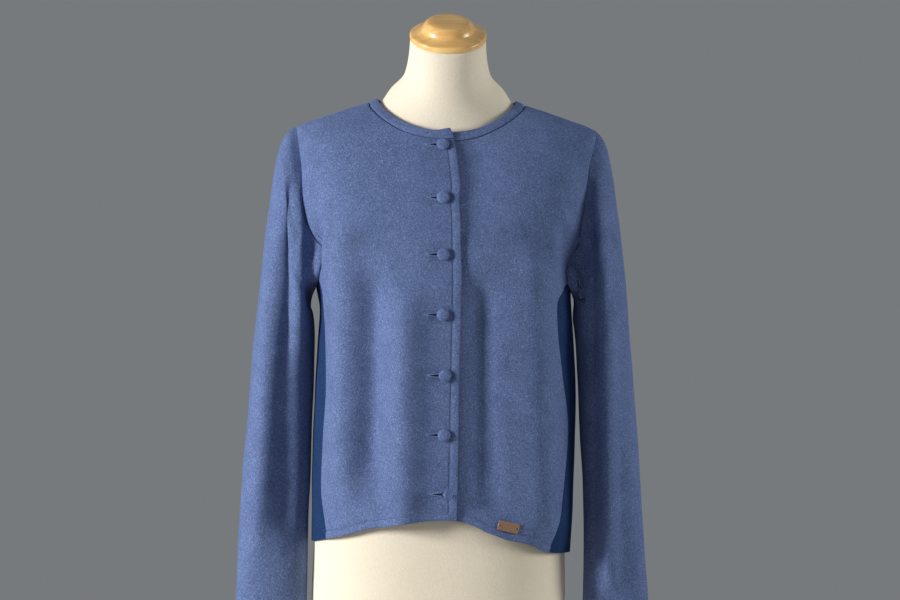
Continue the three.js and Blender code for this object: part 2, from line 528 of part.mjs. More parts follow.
// A sleeve leaves the shoulder in line with the body's cloth and the underarm at a right angle to it.
function sleeve(key) {
  const seam = seams[key];
  const curves = followAll(SLEEVE_RINGS[key]);
  const folds = SLEEVE_FOLDS[key];
  const edge = armholeEdge(seam);
  const seat = edge.map(([station, angle]) => clothPoint(station, angle));
  const heart = bodyPoint(9, (seam.side * Math.PI) / 2);

  const frame = (ring) => {
    const outer = new THREE.Vector3(seam.side * ring.outX, ring.mid, ring.outZ);
    const inner = new THREE.Vector3(seam.side * ring.inX, ring.mid, ring.inZ);
    const middle = outer.clone().add(inner).multiplyScalar(0.5);
    return { middle, reach: outer.sub(middle) };
  };
  const first = frame(sample(curves, 0));
  const angles = seat.map((point) => {
    const place = point.clone().sub(first.middle);
    const out = place.dot(first.reach) / first.reach.lengthSq();
    return Math.atan2(-place.y / curves.deep(0), out);
  });
  const ringPoint = (station, angle) => {
    const ring = sample(curves, station);
    const { middle, reach } = frame(ring);
    const round = 2 / SLEEVE_SQUARE;
    const out = Math.cos(angle);
    const ahead = Math.sin(angle);
    const point = middle.addScaledVector(reach, Math.sign(out) * Math.abs(out) ** round);
    point.y -= Math.sign(ahead) * ring.deep * Math.abs(ahead) ** round;
    return point;
  };

  const rim = seat.map((point, i) => {
    const [station, angle] = edge[i];
    const normal = bodyNormal(station, angle);
    const next = seat[(i + 1) % seat.length];
    const previous = seat[(i + seat.length - 1) % seat.length];
    const away = next.clone().sub(previous).cross(normal).normalize();
    if (away.dot(heart.clone().sub(point)) < 0) away.negate();
    const bend = (Math.PI / 2) * ((1 - Math.cos(angles[i])) / 2) ** SLEEVE_BEND_POWER;
    const leave = away.clone().multiplyScalar(Math.cos(bend)).addScaledVector(normal, Math.sin(bend));
    const inward = away.multiplyScalar(Math.sin(bend)).addScaledVector(normal, -Math.cos(bend));
    const sunk = WALL * Math.sin(bend) ** 2;
    const outer = point.clone().addScaledVector(leave, SEAM_GAP).addScaledVector(inward, -sunk);
    return { outer, inner: outer.clone().addScaledVector(inward, WALL) };
  });

  const smooth = (station, i) => {
    const point = ringPoint(station, angles[i]);
    const keep = 1 - THREE.MathUtils.smoothstep(station, 0, ARMHOLE_FADE);
    return point.addScaledVector(rim[i].outer.clone().sub(ringPoint(0, angles[i])), keep);
  };
  const count = rim.length;
  const normalAt = (station, i) => {
    const end = SLEEVE_STATIONS[SLEEVE_STATIONS.length - 1];
    const along = smooth(Math.min(station + 0.3, end), i).sub(smooth(Math.max(station - 0.3, 0), i));
    const around = smooth(station, (i + 1) % count).sub(smooth(station, (i + count - 1) % count));
    const normal = along.cross(around).normalize();
    const { middle } = frame(sample(curves, station));
    return normal.dot(smooth(station, i).sub(middle)) < 0 ? normal.negate() : normal;
  };
  const outer = [];
  const inner = [];
  for (const station of SLEEVE_STATIONS) {
    if (station === 0) {
      outer.push(rim.map((pair) => pair.outer));
      inner.push(rim.map((pair) => pair.inner));
      continue;
    }
    const normals = rim.map((_, i) => normalAt(station, i));
    const lifted = rim.map((_, i) => {
      const point = smooth(station, i);
      const list = Math.sin(angles[i]) > 0 ? folds.front : folds.back;
      const sideFade = THREE.MathUtils.smoothstep(Math.abs(Math.sin(angles[i])), 0, SLEEVE_FOLD_FADE);
      const grow = THREE.MathUtils.smoothstep(station, 0, SLEEVE_FOLD_GROW);
      return point.addScaledVector(normals[i], grow * sideFade * foldLift(list, point.x, point.z));
    });
    outer.push(lifted);
    inner.push(lifted.map((point, i) => point.clone().addScaledVector(normals[i], -WALL)));
  }
  return wall(outer, inner, true);
}

function dressForm() {
  const curves = followAll(FORM_LOOPS);
  const last = FORM_LOOPS.length - 1;
  const points = [];
  const faces = [];
  const at = (row, side) => row * FORM_SIDES + (side % FORM_SIDES);
  for (let row = 0; row <= FORM_STEPS; row += 1) {
    for (let side = 0; side < FORM_SIDES; side += 1) {
      const angle = (side * 2 * Math.PI) / FORM_SIDES;
      points.push(roundedPoint(curves, (row * last) / FORM_STEPS, angle, last, FORM_ROUNDING));
    }
  }
  const foot = points.push(new THREE.Vector3(0, 0, 0)) - 1;
  const top = sample(curves, last);
  const head = points.push(new THREE.Vector3(0, top.mid, top.side)) - 1;
  for (let side = 0; side < FORM_SIDES; side += 1) {
    for (let row = 0; row < FORM_STEPS; row += 1) {
      faces.push([at(row, side), at(row, side + 1), at(row + 1, side + 1), at(row + 1, side)]);
    }
    faces.push([foot, at(0, side + 1), at(0, side)]);
    faces.push([head, at(FORM_STEPS, side), at(FORM_STEPS, side + 1)]);
  }
  return solid(points, faces);
}

// The turned cap on the neck: a flange, a cove and a dome with a flat top.
function neckCap(material) {
  const { flange, edge, foot, height, top } = CAP;
  const profile = [
    [0, 0], [flange - 1.5, 0], [flange, 1.5], [flange, edge - 1.5], [flange - 1.5, edge],
    [foot + 6, edge + 2], [foot, edge + 5], [foot - 1.5, edge + 9.5], [top + 3, height - 3.5], [top, height - 1],
    [top - 6, height], [0, height],
  ].map(([radius, level]) => new THREE.Vector2(radius, level));
  const mesh = named('neck_cap', new THREE.LatheGeometry(profile, CAP.sides), material);
  mesh.position.set(0, CAP.y, CAP.z);
  mesh.rotation.x = Math.PI / 2 + THREE.MathUtils.degToRad(CAP.tilt);
  mesh.translateY(SEAM_GAP);
  return mesh;
}

// The station and angle of a front whose place, seen from the front, is x and z.
function placeOn(x, z) {
  let low = HEM;
  let high = NECK_EDGE;
  for (let pass = 0; pass < 30; pass += 1) {
    const middle = (low + high) / 2;
    const height = bodyPoint(middle, angleOn(middle, () => x, 1)).z;
    if (height < z) low = middle;
    else high = middle;
  }
  return [low, angleOn(low, () => x, 1)];
}

// A covered button, its dome facing away from the cloth, on a shank that keeps it clear when turned.
function button(name, { x, z, turn }, material) {
  const [station, angle] = placeOn(x, z);
  const lean = THREE.MathUtils.degToRad(turn);
  const shank = BUTTON_SINK + BUTTON_RADIUS * Math.sin(lean);
  const profile = [
    [0, -shank], [BUTTON_SHANK_RADIUS, -shank], [BUTTON_SHANK_RADIUS, 0], [BUTTON_RADIUS - 1, 0],
    [BUTTON_RADIUS, 1.1], [BUTTON_RADIUS - 0.3, 2.3], [BUTTON_RADIUS - 2.2, 3.8], [3.2, BUTTON_DOME - 0.1],
    [0, BUTTON_DOME],
  ].map(([radius, level]) => new THREE.Vector2(radius, level));
  const mesh = named(name, new THREE.LatheGeometry(profile, BUTTON_SIDES), material);
  const normal = clothNormal(station, angle, 1);
  const facing = normal.clone().applyAxisAngle(new THREE.Vector3(0, 0, 1), lean);
  mesh.quaternion.setFromUnitVectors(new THREE.Vector3(0, 1, 0), facing);
  const clear = BUTTON_LIFT + shank + BUTTON_SHANK_RADIUS * Math.sin(lean);
  mesh.position.copy(clothPoint(station, angle, 1)).addScaledVector(normal, clear);
  return mesh;
}

// The label lies on the left front: its points are the panel's own, moved out.
function hemLabel() {
  const tilt = THREE.MathUtils.degToRad(LABEL.tilt);
  const grid = (lift) => [-0.5, 0, 0.5].map((down) => [-0.5, -0.25, 0, 0.25, 0.5].map((along) => {
    const sideways = along * LABEL.width;
    const up = down * LABEL.height;
    const x = LABEL.x + sideways * Math.cos(tilt) - up * Math.sin(tilt);
    const z = LABEL.z + sideways * Math.sin(tilt) + up * Math.cos(tilt);
    const [station, angle] = placeOn(x, z);
    return clothPoint(station, angle, -1, -lift);
  }));
  return wall(grid(LABEL.lift + LABEL.thick), grid(LABEL.lift));
}

// ---- Materials and the part ----

const wool = new THREE.MeshStandardMaterial({ color: 0x5f74ad, roughness: 0.95, metalness: 0 });
const navyWool = new THREE.MeshStandardMaterial({ color: 0x1d3357, roughness: 0.95, metalness: 0 });
const covered = new THREE.MeshStandardMaterial({ color: 0x5a6fa8, roughness: 0.9, metalness: 0 });
const jersey = new THREE.MeshStandardMaterial({ color: 0xeee2c8, roughness: 0.85, metalness: 0 });
const wood = new THREE.MeshStandardMaterial({ color: 0xd9963f, roughness: 0.35, metalness: 0 });
const leather = new THREE.MeshStandardMaterial({ color: 0x9a6a50, roughness: 0.7, metalness: 0 });

function dressedForm() {
  const group = new THREE.Group();
  group.add(named('form_torso', dressForm(), jersey));
  group.add(neckCap(wood));
  group.add(named('front_right', rightFront(), wool));
  group.add(named('front_left', leftFront(), wool));
  group.add(named('back', backPanel(), wool));
  group.add(named('side_panel_right', sidePanel(seams.left), navyWool));
  group.add(named('side_panel_left', sidePanel(seams.right), navyWool));
  group.add(named('sleeve_right', sleeve('left'), wool));
  group.add(named('sleeve_left', sleeve('right'), wool));
  group.add(named('neckband', neckband(), wool));
  BUTTONS.forEach((place, i) => group.add(button(`button_${i + 1}`, place, covered)));
  group.add(named('hem_label', hemLabel(), leather));
  return group;
}

export default dressedForm();
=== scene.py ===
"""Dresses the cardigan and its dress form: fine cloth surfaces, sewing, buttons and materials.

Sizes are in millimetres here and turn into metres where a mesh is made. +Z is up, the front faces -Y.
"""

import math

import bpy
import numpy as np
from mathutils import Matrix, Vector


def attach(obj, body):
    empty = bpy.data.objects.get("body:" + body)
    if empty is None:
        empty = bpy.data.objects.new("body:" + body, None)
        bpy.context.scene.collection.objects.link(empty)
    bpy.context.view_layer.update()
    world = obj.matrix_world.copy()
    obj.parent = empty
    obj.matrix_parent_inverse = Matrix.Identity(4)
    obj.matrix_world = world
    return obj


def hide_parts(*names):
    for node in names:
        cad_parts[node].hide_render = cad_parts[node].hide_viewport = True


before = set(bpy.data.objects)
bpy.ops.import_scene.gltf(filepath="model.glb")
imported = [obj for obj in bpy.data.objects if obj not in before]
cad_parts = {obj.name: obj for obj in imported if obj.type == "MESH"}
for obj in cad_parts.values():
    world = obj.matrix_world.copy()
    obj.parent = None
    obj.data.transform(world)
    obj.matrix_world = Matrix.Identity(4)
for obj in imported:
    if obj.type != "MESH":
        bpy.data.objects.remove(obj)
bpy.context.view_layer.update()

# ---- Driving dimensions, the CAD's own ----
MM = 0.001
QUARTER = math.pi / 2
WALL = 2.2
LAP_LIFT = 1.6
LAP_FLAT = 26
LAP_FADE = 62
HEM, UNDERARM, SHOULDER, BAND_SEAM, NECK_EDGE = 0, 6, 11, 14, 15
PANEL_JOINT = 6.15
BACK_SEAM_ANGLE = math.radians(114)
UNDER_EDGE_X = -16
SHOULDER_LEVEL = 19  # how far the first loop above the shoulder points is lowered, and how near to them
SHOULDER_NEAR = 8
HEM_BEHIND = 6  # how near to the sides the hem's own line fades out behind
BODY_ROUNDING = 1.7  # stations over which the loops' surface is averaged
FORM_ROUNDING = 0.7
ROUNDING_FULL = 0.5
FOLD_END = 55
FOLD_SIDE_FADE = 0.25
STATION_STEP, ANGLE_STEP = 0.04, 0.012  # for the direction that the cloth looks in
SLEEVE_SQUARE = 2.15
ARMHOLE_FADE = 5

SIDES = {-1: "right", 1: "left"}  # the wearer's, by the sign of x

LOOP_COLUMNS = ("side", "front", "back", "left", "right", "fore", "aft", "mid", "square", "fall")
BODY_LOOPS = [
    (160, 198, 155, 166, 170, 121, 113, 0, 2.3, 5),
    (222, 238, 220, 166.5, 172.5, 121, 111, 0, 2.3, 5),
    (290, 294, 290, 166.5, 173.6, 123, 108, 0, 2.3, 5),
    (355, 355, 355, 165, 174.2, 126, 106, 0, 2.3, 5),
    (425, 425, 425, 162.5, 170.3, 129, 106, 0, 2.3, 4.5),
    (464, 464, 464, 160.5, 166.8, 131, 107, 0, 2.3, 4),
    (497, 500, 500, 166, 165, 131, 108, 0, 2.3, 4),
    (540, 528, 530, 173, 172, 129, 108, 0, 2.3, 3.6),
    (581, 555, 560, 192, 188, 126, 108, 1, 2.3, 3.2),
    (620, 582, 590, 194, 192, 120, 106, 2, 2.3, 2.9),
    (660, 609, 620, 196, 195.5, 112, 102, 3, 2.3, 2.7),
    (702, 636, 650, 194.6, 196, 103, 95, 4, 2, 2.4),
    (715.7, 654, 673, 162, 163, 94, 85, 5, 2, 2.3),
    (727, 672, 696, 130, 130.5, 84, 73, 7, 2, 1.9),
    (736.5, 688, 717, 101.5, 101.5, 74, 60, 8, 2.1, 1.6),
    (741.5, 699, 727, 90, 90, 68.5, 53, 8, 2, 1.4),
]
# How far the fronts' hem lies above the lowest loop at each x.
HEM_SHAPE = [
    (-166, 5.4), (-147, 8.5), (-102, 7), (-56, -1.5), (-36, -2.6), (0, -1.2), (22, -0.6), (43, -3), (63, -7.5),
    (84, -8), (105, -4.5), (121, -3), (131, -5.7), (170, -3.2),
]
FORM_LOOPS = [
    (0, 0, 0, 156, 156, 102, 100, 0, 2.3, 1),
    (7, 7, 7, 161, 161, 107, 105, 0, 2.3, 1),
    (90, 90, 90, 164.6, 164.6, 110, 109, 0, 2.3, 1),
    (165, 165, 165, 162.6, 162.6, 109, 107, 0, 2.3, 1),
    (240, 240, 240, 157, 157, 106, 102, 0, 2.3, 1),
    (300, 300, 300, 145, 145, 101, 94, 0, 2.3, 1),
    (365, 365, 365, 129, 129, 95, 82, 0, 2.2, 1),
    (425, 425, 425, 134, 134, 105, 88, 0, 2.2, 2),
    (470, 470, 470, 143, 143, 118, 95, 0, 2.2, 3),
    (500, 497, 500, 150, 150, 123, 99, 0, 2.2, 3.5),
    (560, 537, 545, 160, 160, 121, 101, 0, 2.2, 3.3),
    (620, 577, 586, 168, 168, 115, 100, 2, 2.2, 2.9),
    (667, 609, 620, 171, 171, 104, 94, 3, 2.2, 2.7),
    (691, 629, 645, 167, 167, 97, 88.5, 4, 2.2, 2.5),
    (707, 648, 667, 150, 150, 88.5, 79.5, 5, 2.2, 2.4),
    (720, 666, 689, 121, 121, 79, 68.5, 7, 2.1, 2.05),
    (730.5, 681.5, 710.5, 97, 97, 69.5, 55, 8, 2.1, 1.7),
    (736, 692.5, 721, 87, 87, 63, 47.5, 8, 2, 1.5),
    (756, 716, 738, 72.5, 72.5, 57, 44, 5, 2, 1.4),
    (775, 742, 768, 55.5, 55.5, 55, 39, -2, 2, 1.2),
    (800, 773, 808, 50.4, 50.4, 58, 33, -11, 2, 1),
    (819.5, 799, 840, 49, 49, 60.4, 28.4, -16, 2, 1),
]
# Seams seen from the front: height and distance from the middle.
PANEL_SEAM = {
    -1: [(165, 146.5), (229, 154), (298, 152.5), (368, 147), (450, 149), (485, 154), (503, 161)],
    1: [(161, 141), (229, 153), (319, 163), (400, 152), (477, 141), (503, 159.5)],
}
ARMHOLE = {
    -1: [(503, 161), (520, 158.5), (538, 160), (555, 171), (567, 178.5),
         (581, 184), (619, 185.5), (674, 191.7), (702, 194.6)],
    1: [(503, 159.5), (525, 162), (540, 167.5), (556, 174.5), (571, 178.5),
        (594, 181), (621, 183), (671, 190), (702, 196)],
}
TOP_EDGE = [(198, 22.2), (455, 22.6), (579, 21), (620, 19.6), (651, 16.2), (688, 10), (699, 5)]

RING_COLUMNS = ("out_x", "out_z", "in_x", "in_z", "deep", "mid")
SLEEVE_RINGS = {
    -1: [
        (194.6, 702, 166, 497, 52, 0), (203.5, 698.5, 169, 490.5, 56, 0), (212.5, 685, 171, 484.5, 59, 0),
        (220, 661, 172, 478, 61, -1), (226, 619, 172.3, 470, 62, -2), (232, 571, 169, 460, 62, -3),
        (237, 518, 167, 446, 60, -4), (242, 466, 166, 426, 57, -5), (246.5, 414, 166.2, 395, 53, -6),
        (249.5, 362, 166.8, 353, 49, -7), (252.5, 310, 168, 306, 45, -8), (257, 258, 168.8, 257, 41, -9),
        (259, 206, 170, 206, 38, -10), (261.5, 154, 170.5, 154, 35, -11), (262.5, 108, 170.5, 108, 33, -12),
        (263, 68, 170.5, 68, 32, -12),
    ],
    1: [
        (196, 702, 164, 497, 52, 0), (202.5, 695.5, 166.5, 490.5, 53, 0), (209, 682.5, 168.5, 484.5, 54, 0),
        (216, 654, 169, 478, 55.5, -1), (223, 608, 168.6, 470, 57.5, -2), (230, 559, 168.4, 460, 59, -3),
        (236, 509, 170.3, 446, 59, -4), (241, 458, 172.4, 426, 57, -5), (245.5, 408, 174.6, 395, 53, -6),
        (250, 358, 177.4, 353, 49, -7), (255, 308, 180, 306, 45, -8), (259, 257, 184, 257, 41, -9),
        (263, 206, 186.5, 206, 38, -10), (267.5, 154, 187.5, 154, 35, -11), (271.5, 108, 187.5, 108, 33, -12),
        (274, 68, 187.5, 68, 32, -12),
    ],
}

# Folds: upper end x, z, lower end x, z, half width, height (a ridge above zero, a trough below).
BODY_FOLDS = {
    "front": [
        (-130, 600, -124, 200, 20, 12), (-93, 530, -90, 230, 17, -11), (-48, 510, -45, 140, 22, 14),
        (-150, 605, -151, 485, 8, 6), (-161, 605, -161, 500, 8, -7), (50, 530, 62, 185, 20, -9),
        (112, 570, 134, 150, 28, 15), (141, 605, 140, 485, 9, 4), (160, 605, 157, 485, 12, -8),
        (138, 613, 170, 566, 6, 3),
    ],
    "back": [
        (-118, 590, -100, 160, 20, 6.5), (-60, 470, -52, 210, 18, -5), (-8, 430, 4, 150, 20, 5.5),
        (66, 500, 58, 220, 18, -5.5), (120, 600, 104, 150, 19, 7),
    ],
}
SLEEVE_FOLDS = {
    -1: {
        "front": [
            (-193, 650, -179, 370, 10, 5), (-206, 650, -200, 150, 22, -11), (-222, 600, -238, 120, 12, 4)],
        "back": [(-212, 600, -206, 300, 15, -7), (-236, 420, -232, 130, 13, 5)],
    },
    1: {
        "front": [
            (195, 655, 210, 450, 9, 8), (210, 475, 223, 90, 11, 12), (190, 610, 192, 350, 13, -8),
            (196, 380, 200, 120, 13, -5), (235, 420, 236, 340, 10, -2.5),
        ],
        "back": [(214, 610, 208, 320, 15, -7), (238, 440, 240, 140, 13, 5)],
    },
}

BUTTONS = [
    (-4.2, 680.4, 0), (-3.1, 612, 0), (-1.1, 539, 0), (-0.2, 461.8, 0), (3.8, 383.7, 0), (3.8, 307, 0),
    (9.3, 230.7, 50),
]
BUTTON_RADIUS = 8.3
BUTTON_DOME = 4.6
BUTTON_SHANK_RADIUS = 2
BUTTON_LIFT = 0.9
LABEL = {"x": 87.7, "z": 190, "width": 26, "height": 13, "tilt": -12, "thick": 1.2, "lift": 0.95, "corner": 1.4}
CAP = {"y": -16, "z": 819.8, "tilt": 25, "flange": 50, "edge": 7.8, "foot": 35, "height": 25.5, "top": 27}

# ---- Finer sizes, for the scene alone ----
SEAM_GAP = 0.08
BAND_GAP = 0.15  # between the neckband or a sleeve and the body's cloth
SLEEVE_TUCK = 0.3  # how far a sleeve's edge goes beneath the armhole's
STEP = 2.8  # spacing of the cloth's grids
EDGE_STEPS = [0, 0.3, 0.7, 1.2, 1.9, 2.8]  # distances of the grid lines beside an edge
EDGE_ROLL = 0.9  # distance over which an edge rounds off
EDGE_LEFT = 0.3  # share of the wall left at the very edge
SEAM_DIP = 0.4  # how deep the cloth sinks beside a seam, and over what distance
SEAM_DIP_WIDTH = 1.8
TURN_WIDTH = 10.5  # the turned front edge and hems
TURN_RISE = 1.3
TURN_FOLD = 3.2  # where the turned edge is fullest
TURN_LINES = [4.2, 5.8, 7.4, 8.6, 9.4, 10, 10.5, 11, 11.6, 12.4, 13.6]  # grid lines across a turned edge
STITCH_GROOVE = 0.55
HOLE_START = 19.6  # from a button's middle to its buttonhole's far end
HOLE_END = 1
HOLE_OPEN = 2.3  # half height of the open slit
HOLE_ROWS = [-4.6, -3, -1.8, -0.9, -0.2, 0.2, 0.9, 1.8, 3, 4.6]
HOLE_COLUMNS = 1.25  # spacing of the columns across the buttonholes
HOLE_LIP, BUTTON_PULL = 0.55, 1.1
HOLE_STITCHES = np.arange(0.01, 0.62, 0.034)  # shares of a buttonhole's length that have a stitch
UNEVEN = 0.35  # height of the cloth's own unevenness, and the middle length of its waves
UNEVEN_WAVE = 46
CORNER_RISE = 4  # how far the upper front's corner rides up at the neck, where and over what heights
CORNER_X, CORNER_WIDTH, CORNER_LEVELS = 3, 11, (682, 700)
GATHER_WAVES, GATHER_DEPTH = (9, 14, 19), 0.16  # the gathers in a button's cover
ALLOWANCE = 8  # width of the seam allowances, pressed open inside
ALLOWANCE_THICK = 0.9
ALLOWANCE_GAP = 0.12
ALLOWANCE_TRIM = 0.12  # share of an armhole's allowance that is left at the shoulder point
# Columns of each grid, apart from the close ones beside its edges.
FRONT_COLUMNS = {-1: 40, 1: 58}
BACK_COLUMNS, SIDE_COLUMNS, BAND_COLUMNS, SLEEVE_COLUMNS = 122, 22, 190, 150
FOLD_FREE, CREASE_FREE = 2, 0.7  # the sleeve's rings over which its folds and creases begin
SLEEVE_BEND = 1.3  # how late round the armhole the sleeve turns in under the arm
HEART_STATION = 9.0  # a place in the middle of the armhole, that tells inward from outward
FORM_ROWS, FORM_SIDES = 210, 144
THREAD_SIDES, THREAD_SLICES = 6, 5
STITCH_LENGTH, STITCH_SPACE, STITCH_HALF, STITCH_RISE = 2.9, 1.1, 0.22, 0.12

# Small creases, listed like the folds.
CREASES = {
    "front": [
        (-118, 556, -152, 528, 5, 1), (-167, 604, -164, 500, 9, -7), (-151, 600, -151, 490, 5, 2),
        (118, 566, 152, 530, 5, 1), (141, 618, 172, 566, 4, 2), (44, 715, 50, 540, 24, -5),
        (148, 499, 166, 500.5, 2.2, -1.6), (-30, 455, -6, 462, 5, 1), (-34, 530, -8, 539, 6, 0.9),
        (-26, 379, 0, 384, 5, 0.9), (131, 240, 137, 168, 5, 1.5), (124, 235, 128, 170, 4, -1),
        (-118, 300, -112, 190, 9, 1.3), (70, 330, 78, 190, 9, -1.2), (46, 515, 52, 195, 12, -3),
    ],
    "back": [
        (-150, 560, -112, 590, 6, 1.3), (150, 556, 110, 588, 6, 1.3), (-30, 390, -24, 200, 10, 1.2),
        (36, 400, 30, 190, 10, -1.2), (-86, 330, -80, 180, 9, -1.2), (92, 340, 84, 190, 9, 1.2),
    ],
}
SLEEVE_CREASES = {
    -1: {
        "front": [
            (-187, 640, -187, 430, 8, 4), (-171, 590, -173, 440, 9, -5), (-184, 420, -236, 400, 6, 1.1),
            (-198, 660, -199, 400, 9, -4.5), (-186, 470, -184, 130, 22, -6),
            (-190, 340, -240, 330, 7, -1.1), (-196, 250, -250, 238, 6, 1), (-184, 170, -210, 120, 8, -1),
        ],
        "back": [
            (-182, 480, -226, 452, 6, -1.2), (-190, 400, -240, 380, 7, 1.2), (-196, 260, -250, 244, 7, -1)],
    },
    1: {
        "front": [
            (174, 420, 186, 376, 3, -1.6), (178, 425, 190, 382, 3.5, 1.2), (187, 610, 190, 470, 8, -4),
            (196, 380, 246, 362, 6, -1.1), (200, 300, 250, 290, 7, 1), (206, 190, 262, 176, 7, -1),
        ],
        "back": [(184, 470, 228, 446, 6, 1.2), (190, 372, 244, 356, 7, -1.2), (204, 240, 262, 226, 7, 1)],
    },
}


# ---- Curves and surfaces ----


def follow(at, value):
    """A smooth curve through a table, with no overshoot between its rows."""
    at, value = np.asarray(at, float), np.asarray(value, float)
    slope = np.diff(value) / np.diff(at)
    before = np.concatenate([slope[:1], slope])
    after = np.concatenate([slope, slope[-1:]])
    product = before * after
    total = np.where(before + after == 0, 1, before + after)
    tangent = np.where(product <= 0, 0, 2 * product / total)

    def curve(s):
        inside = np.clip(s, at[0], at[-1])
        i = np.clip(np.searchsorted(at, inside, side="left") - 1, 0, len(slope) - 1)
        step = at[i + 1] - at[i]
        u = (inside - at[i]) / step
        rise = value[i + 1] - value[i]
        bend = step * tangent[i] - rise
        turn = -step * tangent[i + 1] + rise
        return value[i] + u * rise + u * (1 - u) * ((1 - u) * bend + u * turn)

    return curve


def follow_all(rows, columns):
    """A curve for each column of a table, read from a close sampling of it."""
    at = np.linspace(0, len(rows) - 1, 200 * (len(rows) - 1) + 1)

    def curve(column):
        values = follow(range(len(rows)), column)(at)
        return lambda station: np.interp(station, at, values)

    return {name: curve([row[i] for row in rows]) for i, name in enumerate(columns)}


def follow_seam(rows):
    return follow([z for z, _ in rows], [x for _, x in rows])


def smoothstep(value, low, high):
    u = np.clip((value - low) / (high - low), 0, 1)
    return u * u * (3 - 2 * u)


def lerp(a, b, share):
    return a + (b - a) * share


def unit(vectors):
    return vectors / np.maximum(np.linalg.norm(vectors, axis=-1, keepdims=True), 1e-12)


def loop_point(curves, station, angle):
    """The point of the loop at a station, at an angle from the front that grows towards +X."""
    loop = {name: curve(station) for name, curve in curves.items()}
    across, ahead = np.sin(angle), np.cos(angle)
    power = 2 / loop["square"]
    half = np.where(across < 0, loop["left"], loop["right"])
    reach = np.where(ahead > 0, -loop["fore"] - loop["mid"], loop["aft"] - loop["mid"])
    level = np.where(ahead > 0, loop["front"], loop["back"])
    x = np.sign(across) * half * np.abs(across) ** power
    y = loop["mid"] + reach * np.abs(ahead) ** power
    z = loop["side"] + (level - loop["side"]) * np.abs(ahead) ** loop["fall"]
    return np.stack([x, y, z], axis=-1)


def rounded_point(curves, station, angle, last, rounding):
    """The loops' surface with its creases rounded off away from the side line."""
    spread = rounding * smoothstep(np.abs(np.cos(angle)), 0, ROUNDING_FULL)
    spread = np.minimum(spread, np.minimum(0.8 * station, 0.8 * (last - station)))
    shares = ((-1, 1), (-0.5, 2), (0, 3), (0.5, 2), (1, 1))
    return sum(loop_point(curves, station + shift * spread, angle) * weight / 9 for shift, weight in shares)


def fold_lift(folds, x, z):
    """How far the folds of a list lift the cloth at a place seen in elevation."""
    total = np.zeros_like(x)
    for x1, z1, x2, z2, width, height in folds:
        length = math.hypot(x2 - x1, z2 - z1)
        ax, az = (x2 - x1) / length, (z2 - z1) / length
        run = (x - x1) * ax + (z - z1) * az
        off = ((x - x1) * az - (z - z1) * ax) / width
        end = min(FOLD_END, length / 2)
        fade = smoothstep(run, 0, end) * smoothstep(length - run, 0, end)
        total += height * np.exp(-off * off) * fade
    return total


def folds_at(lists, ahead, x, z):
    """The lift of the folds in front where ahead is above zero, and of those behind elsewhere."""
    return np.where(ahead > 0, fold_lift(lists["front"], x, z), fold_lift(lists["back"], x, z))


def uneven(points):
    """A gentle unevenness, -1 to 1, that runs on across seams."""
    rng = np.random.default_rng(3)
    total = np.zeros(points.shape[:-1])
    for _ in range(9):
        direction = unit(rng.normal(size=3))
        length = UNEVEN_WAVE * rng.uniform(0.7, 1.8)
        total += np.sin(points @ direction * (2 * math.pi / length) + rng.uniform(0, 2 * math.pi))
    return total / 4.5


ALL_BODY_FOLDS = {place: BODY_FOLDS[place] + CREASES[place] for place in BODY_FOLDS}
BODY = follow_all(BODY_LOOPS, LOOP_COLUMNS)
FORM = follow_all(FORM_LOOPS, LOOP_COLUMNS)
PANEL = {side: follow_seam(rows) for side, rows in PANEL_SEAM.items()}
SCYE = {side: follow_seam(rows) for side, rows in ARMHOLE.items()}
LAP_EDGE = follow_seam(TOP_EDGE)
HEM_CURVE = follow([x for x, _ in HEM_SHAPE], [up for _, up in HEM_SHAPE])


def body_point(station, angle):
    point = rounded_point(BODY, station, angle, NECK_EDGE, BODY_ROUNDING)
    behind = np.where(np.cos(angle) > 0, 1, np.abs(np.sin(angle)) ** HEM_BEHIND)
    point[..., 2] += behind * (1 - smoothstep(station, HEM, 2)) * HEM_CURVE(point[..., 0])
    beside = np.clip(station - SHOULDER, 0, 1)
    point[..., 2] -= SHOULDER_LEVEL * beside * (1 - beside) ** 3 * np.abs(np.sin(angle)) ** SHOULDER_NEAR
    return point


def body_normal(station, angle):
    high = np.minimum(station + STATION_STEP, NECK_EDGE)
    low = np.maximum(station - STATION_STEP, HEM)
    upward = body_point(high, angle) - body_point(low, angle)
    around = body_point(station, angle + ANGLE_STEP) - body_point(station, angle - ANGLE_STEP)
    return unit(np.cross(around, upward))


def cloth_point(station, angle, lap=0, lift=0):
    """The outer face of the body's cloth. lap is 1 on the upper front, -1 on the lower one."""
    station, angle = np.broadcast_arrays(np.asarray(station, float), np.asarray(angle, float))
    point = body_point(station, angle)
    x, z = point[..., 0], point[..., 2]
    ahead = np.cos(angle)
    folds = folds_at(ALL_BODY_FOLDS, ahead, x, z)
    overlap = 1 - smoothstep(np.abs(x), LAP_FLAT, LAP_FADE)
    total = smoothstep(np.abs(ahead), 0, FOLD_SIDE_FADE) * folds + lap * LAP_LIFT * overlap
    total = total + UNEVEN * uneven(point) + lift
    point = point + body_normal(station, angle) * total[..., None]
    near = np.exp(-(((x - CORNER_X) / CORNER_WIDTH) ** 2)) * smoothstep(z, *CORNER_LEVELS) * (ahead > 0)
    point[..., 2] += np.where(np.asarray(lap) > 0, CORNER_RISE, 0) * near
    return point


def cloth_normal(station, angle, lap):
    """The direction the outer face looks in, its folds included."""
    high, low = (cloth_point(station + step, angle, lap) for step in (STATION_STEP, -STATION_STEP))
    after, before = (cloth_point(station, angle + step, lap) for step in (ANGLE_STEP, -ANGLE_STEP))
    return unit(np.cross(after - before, high - low))


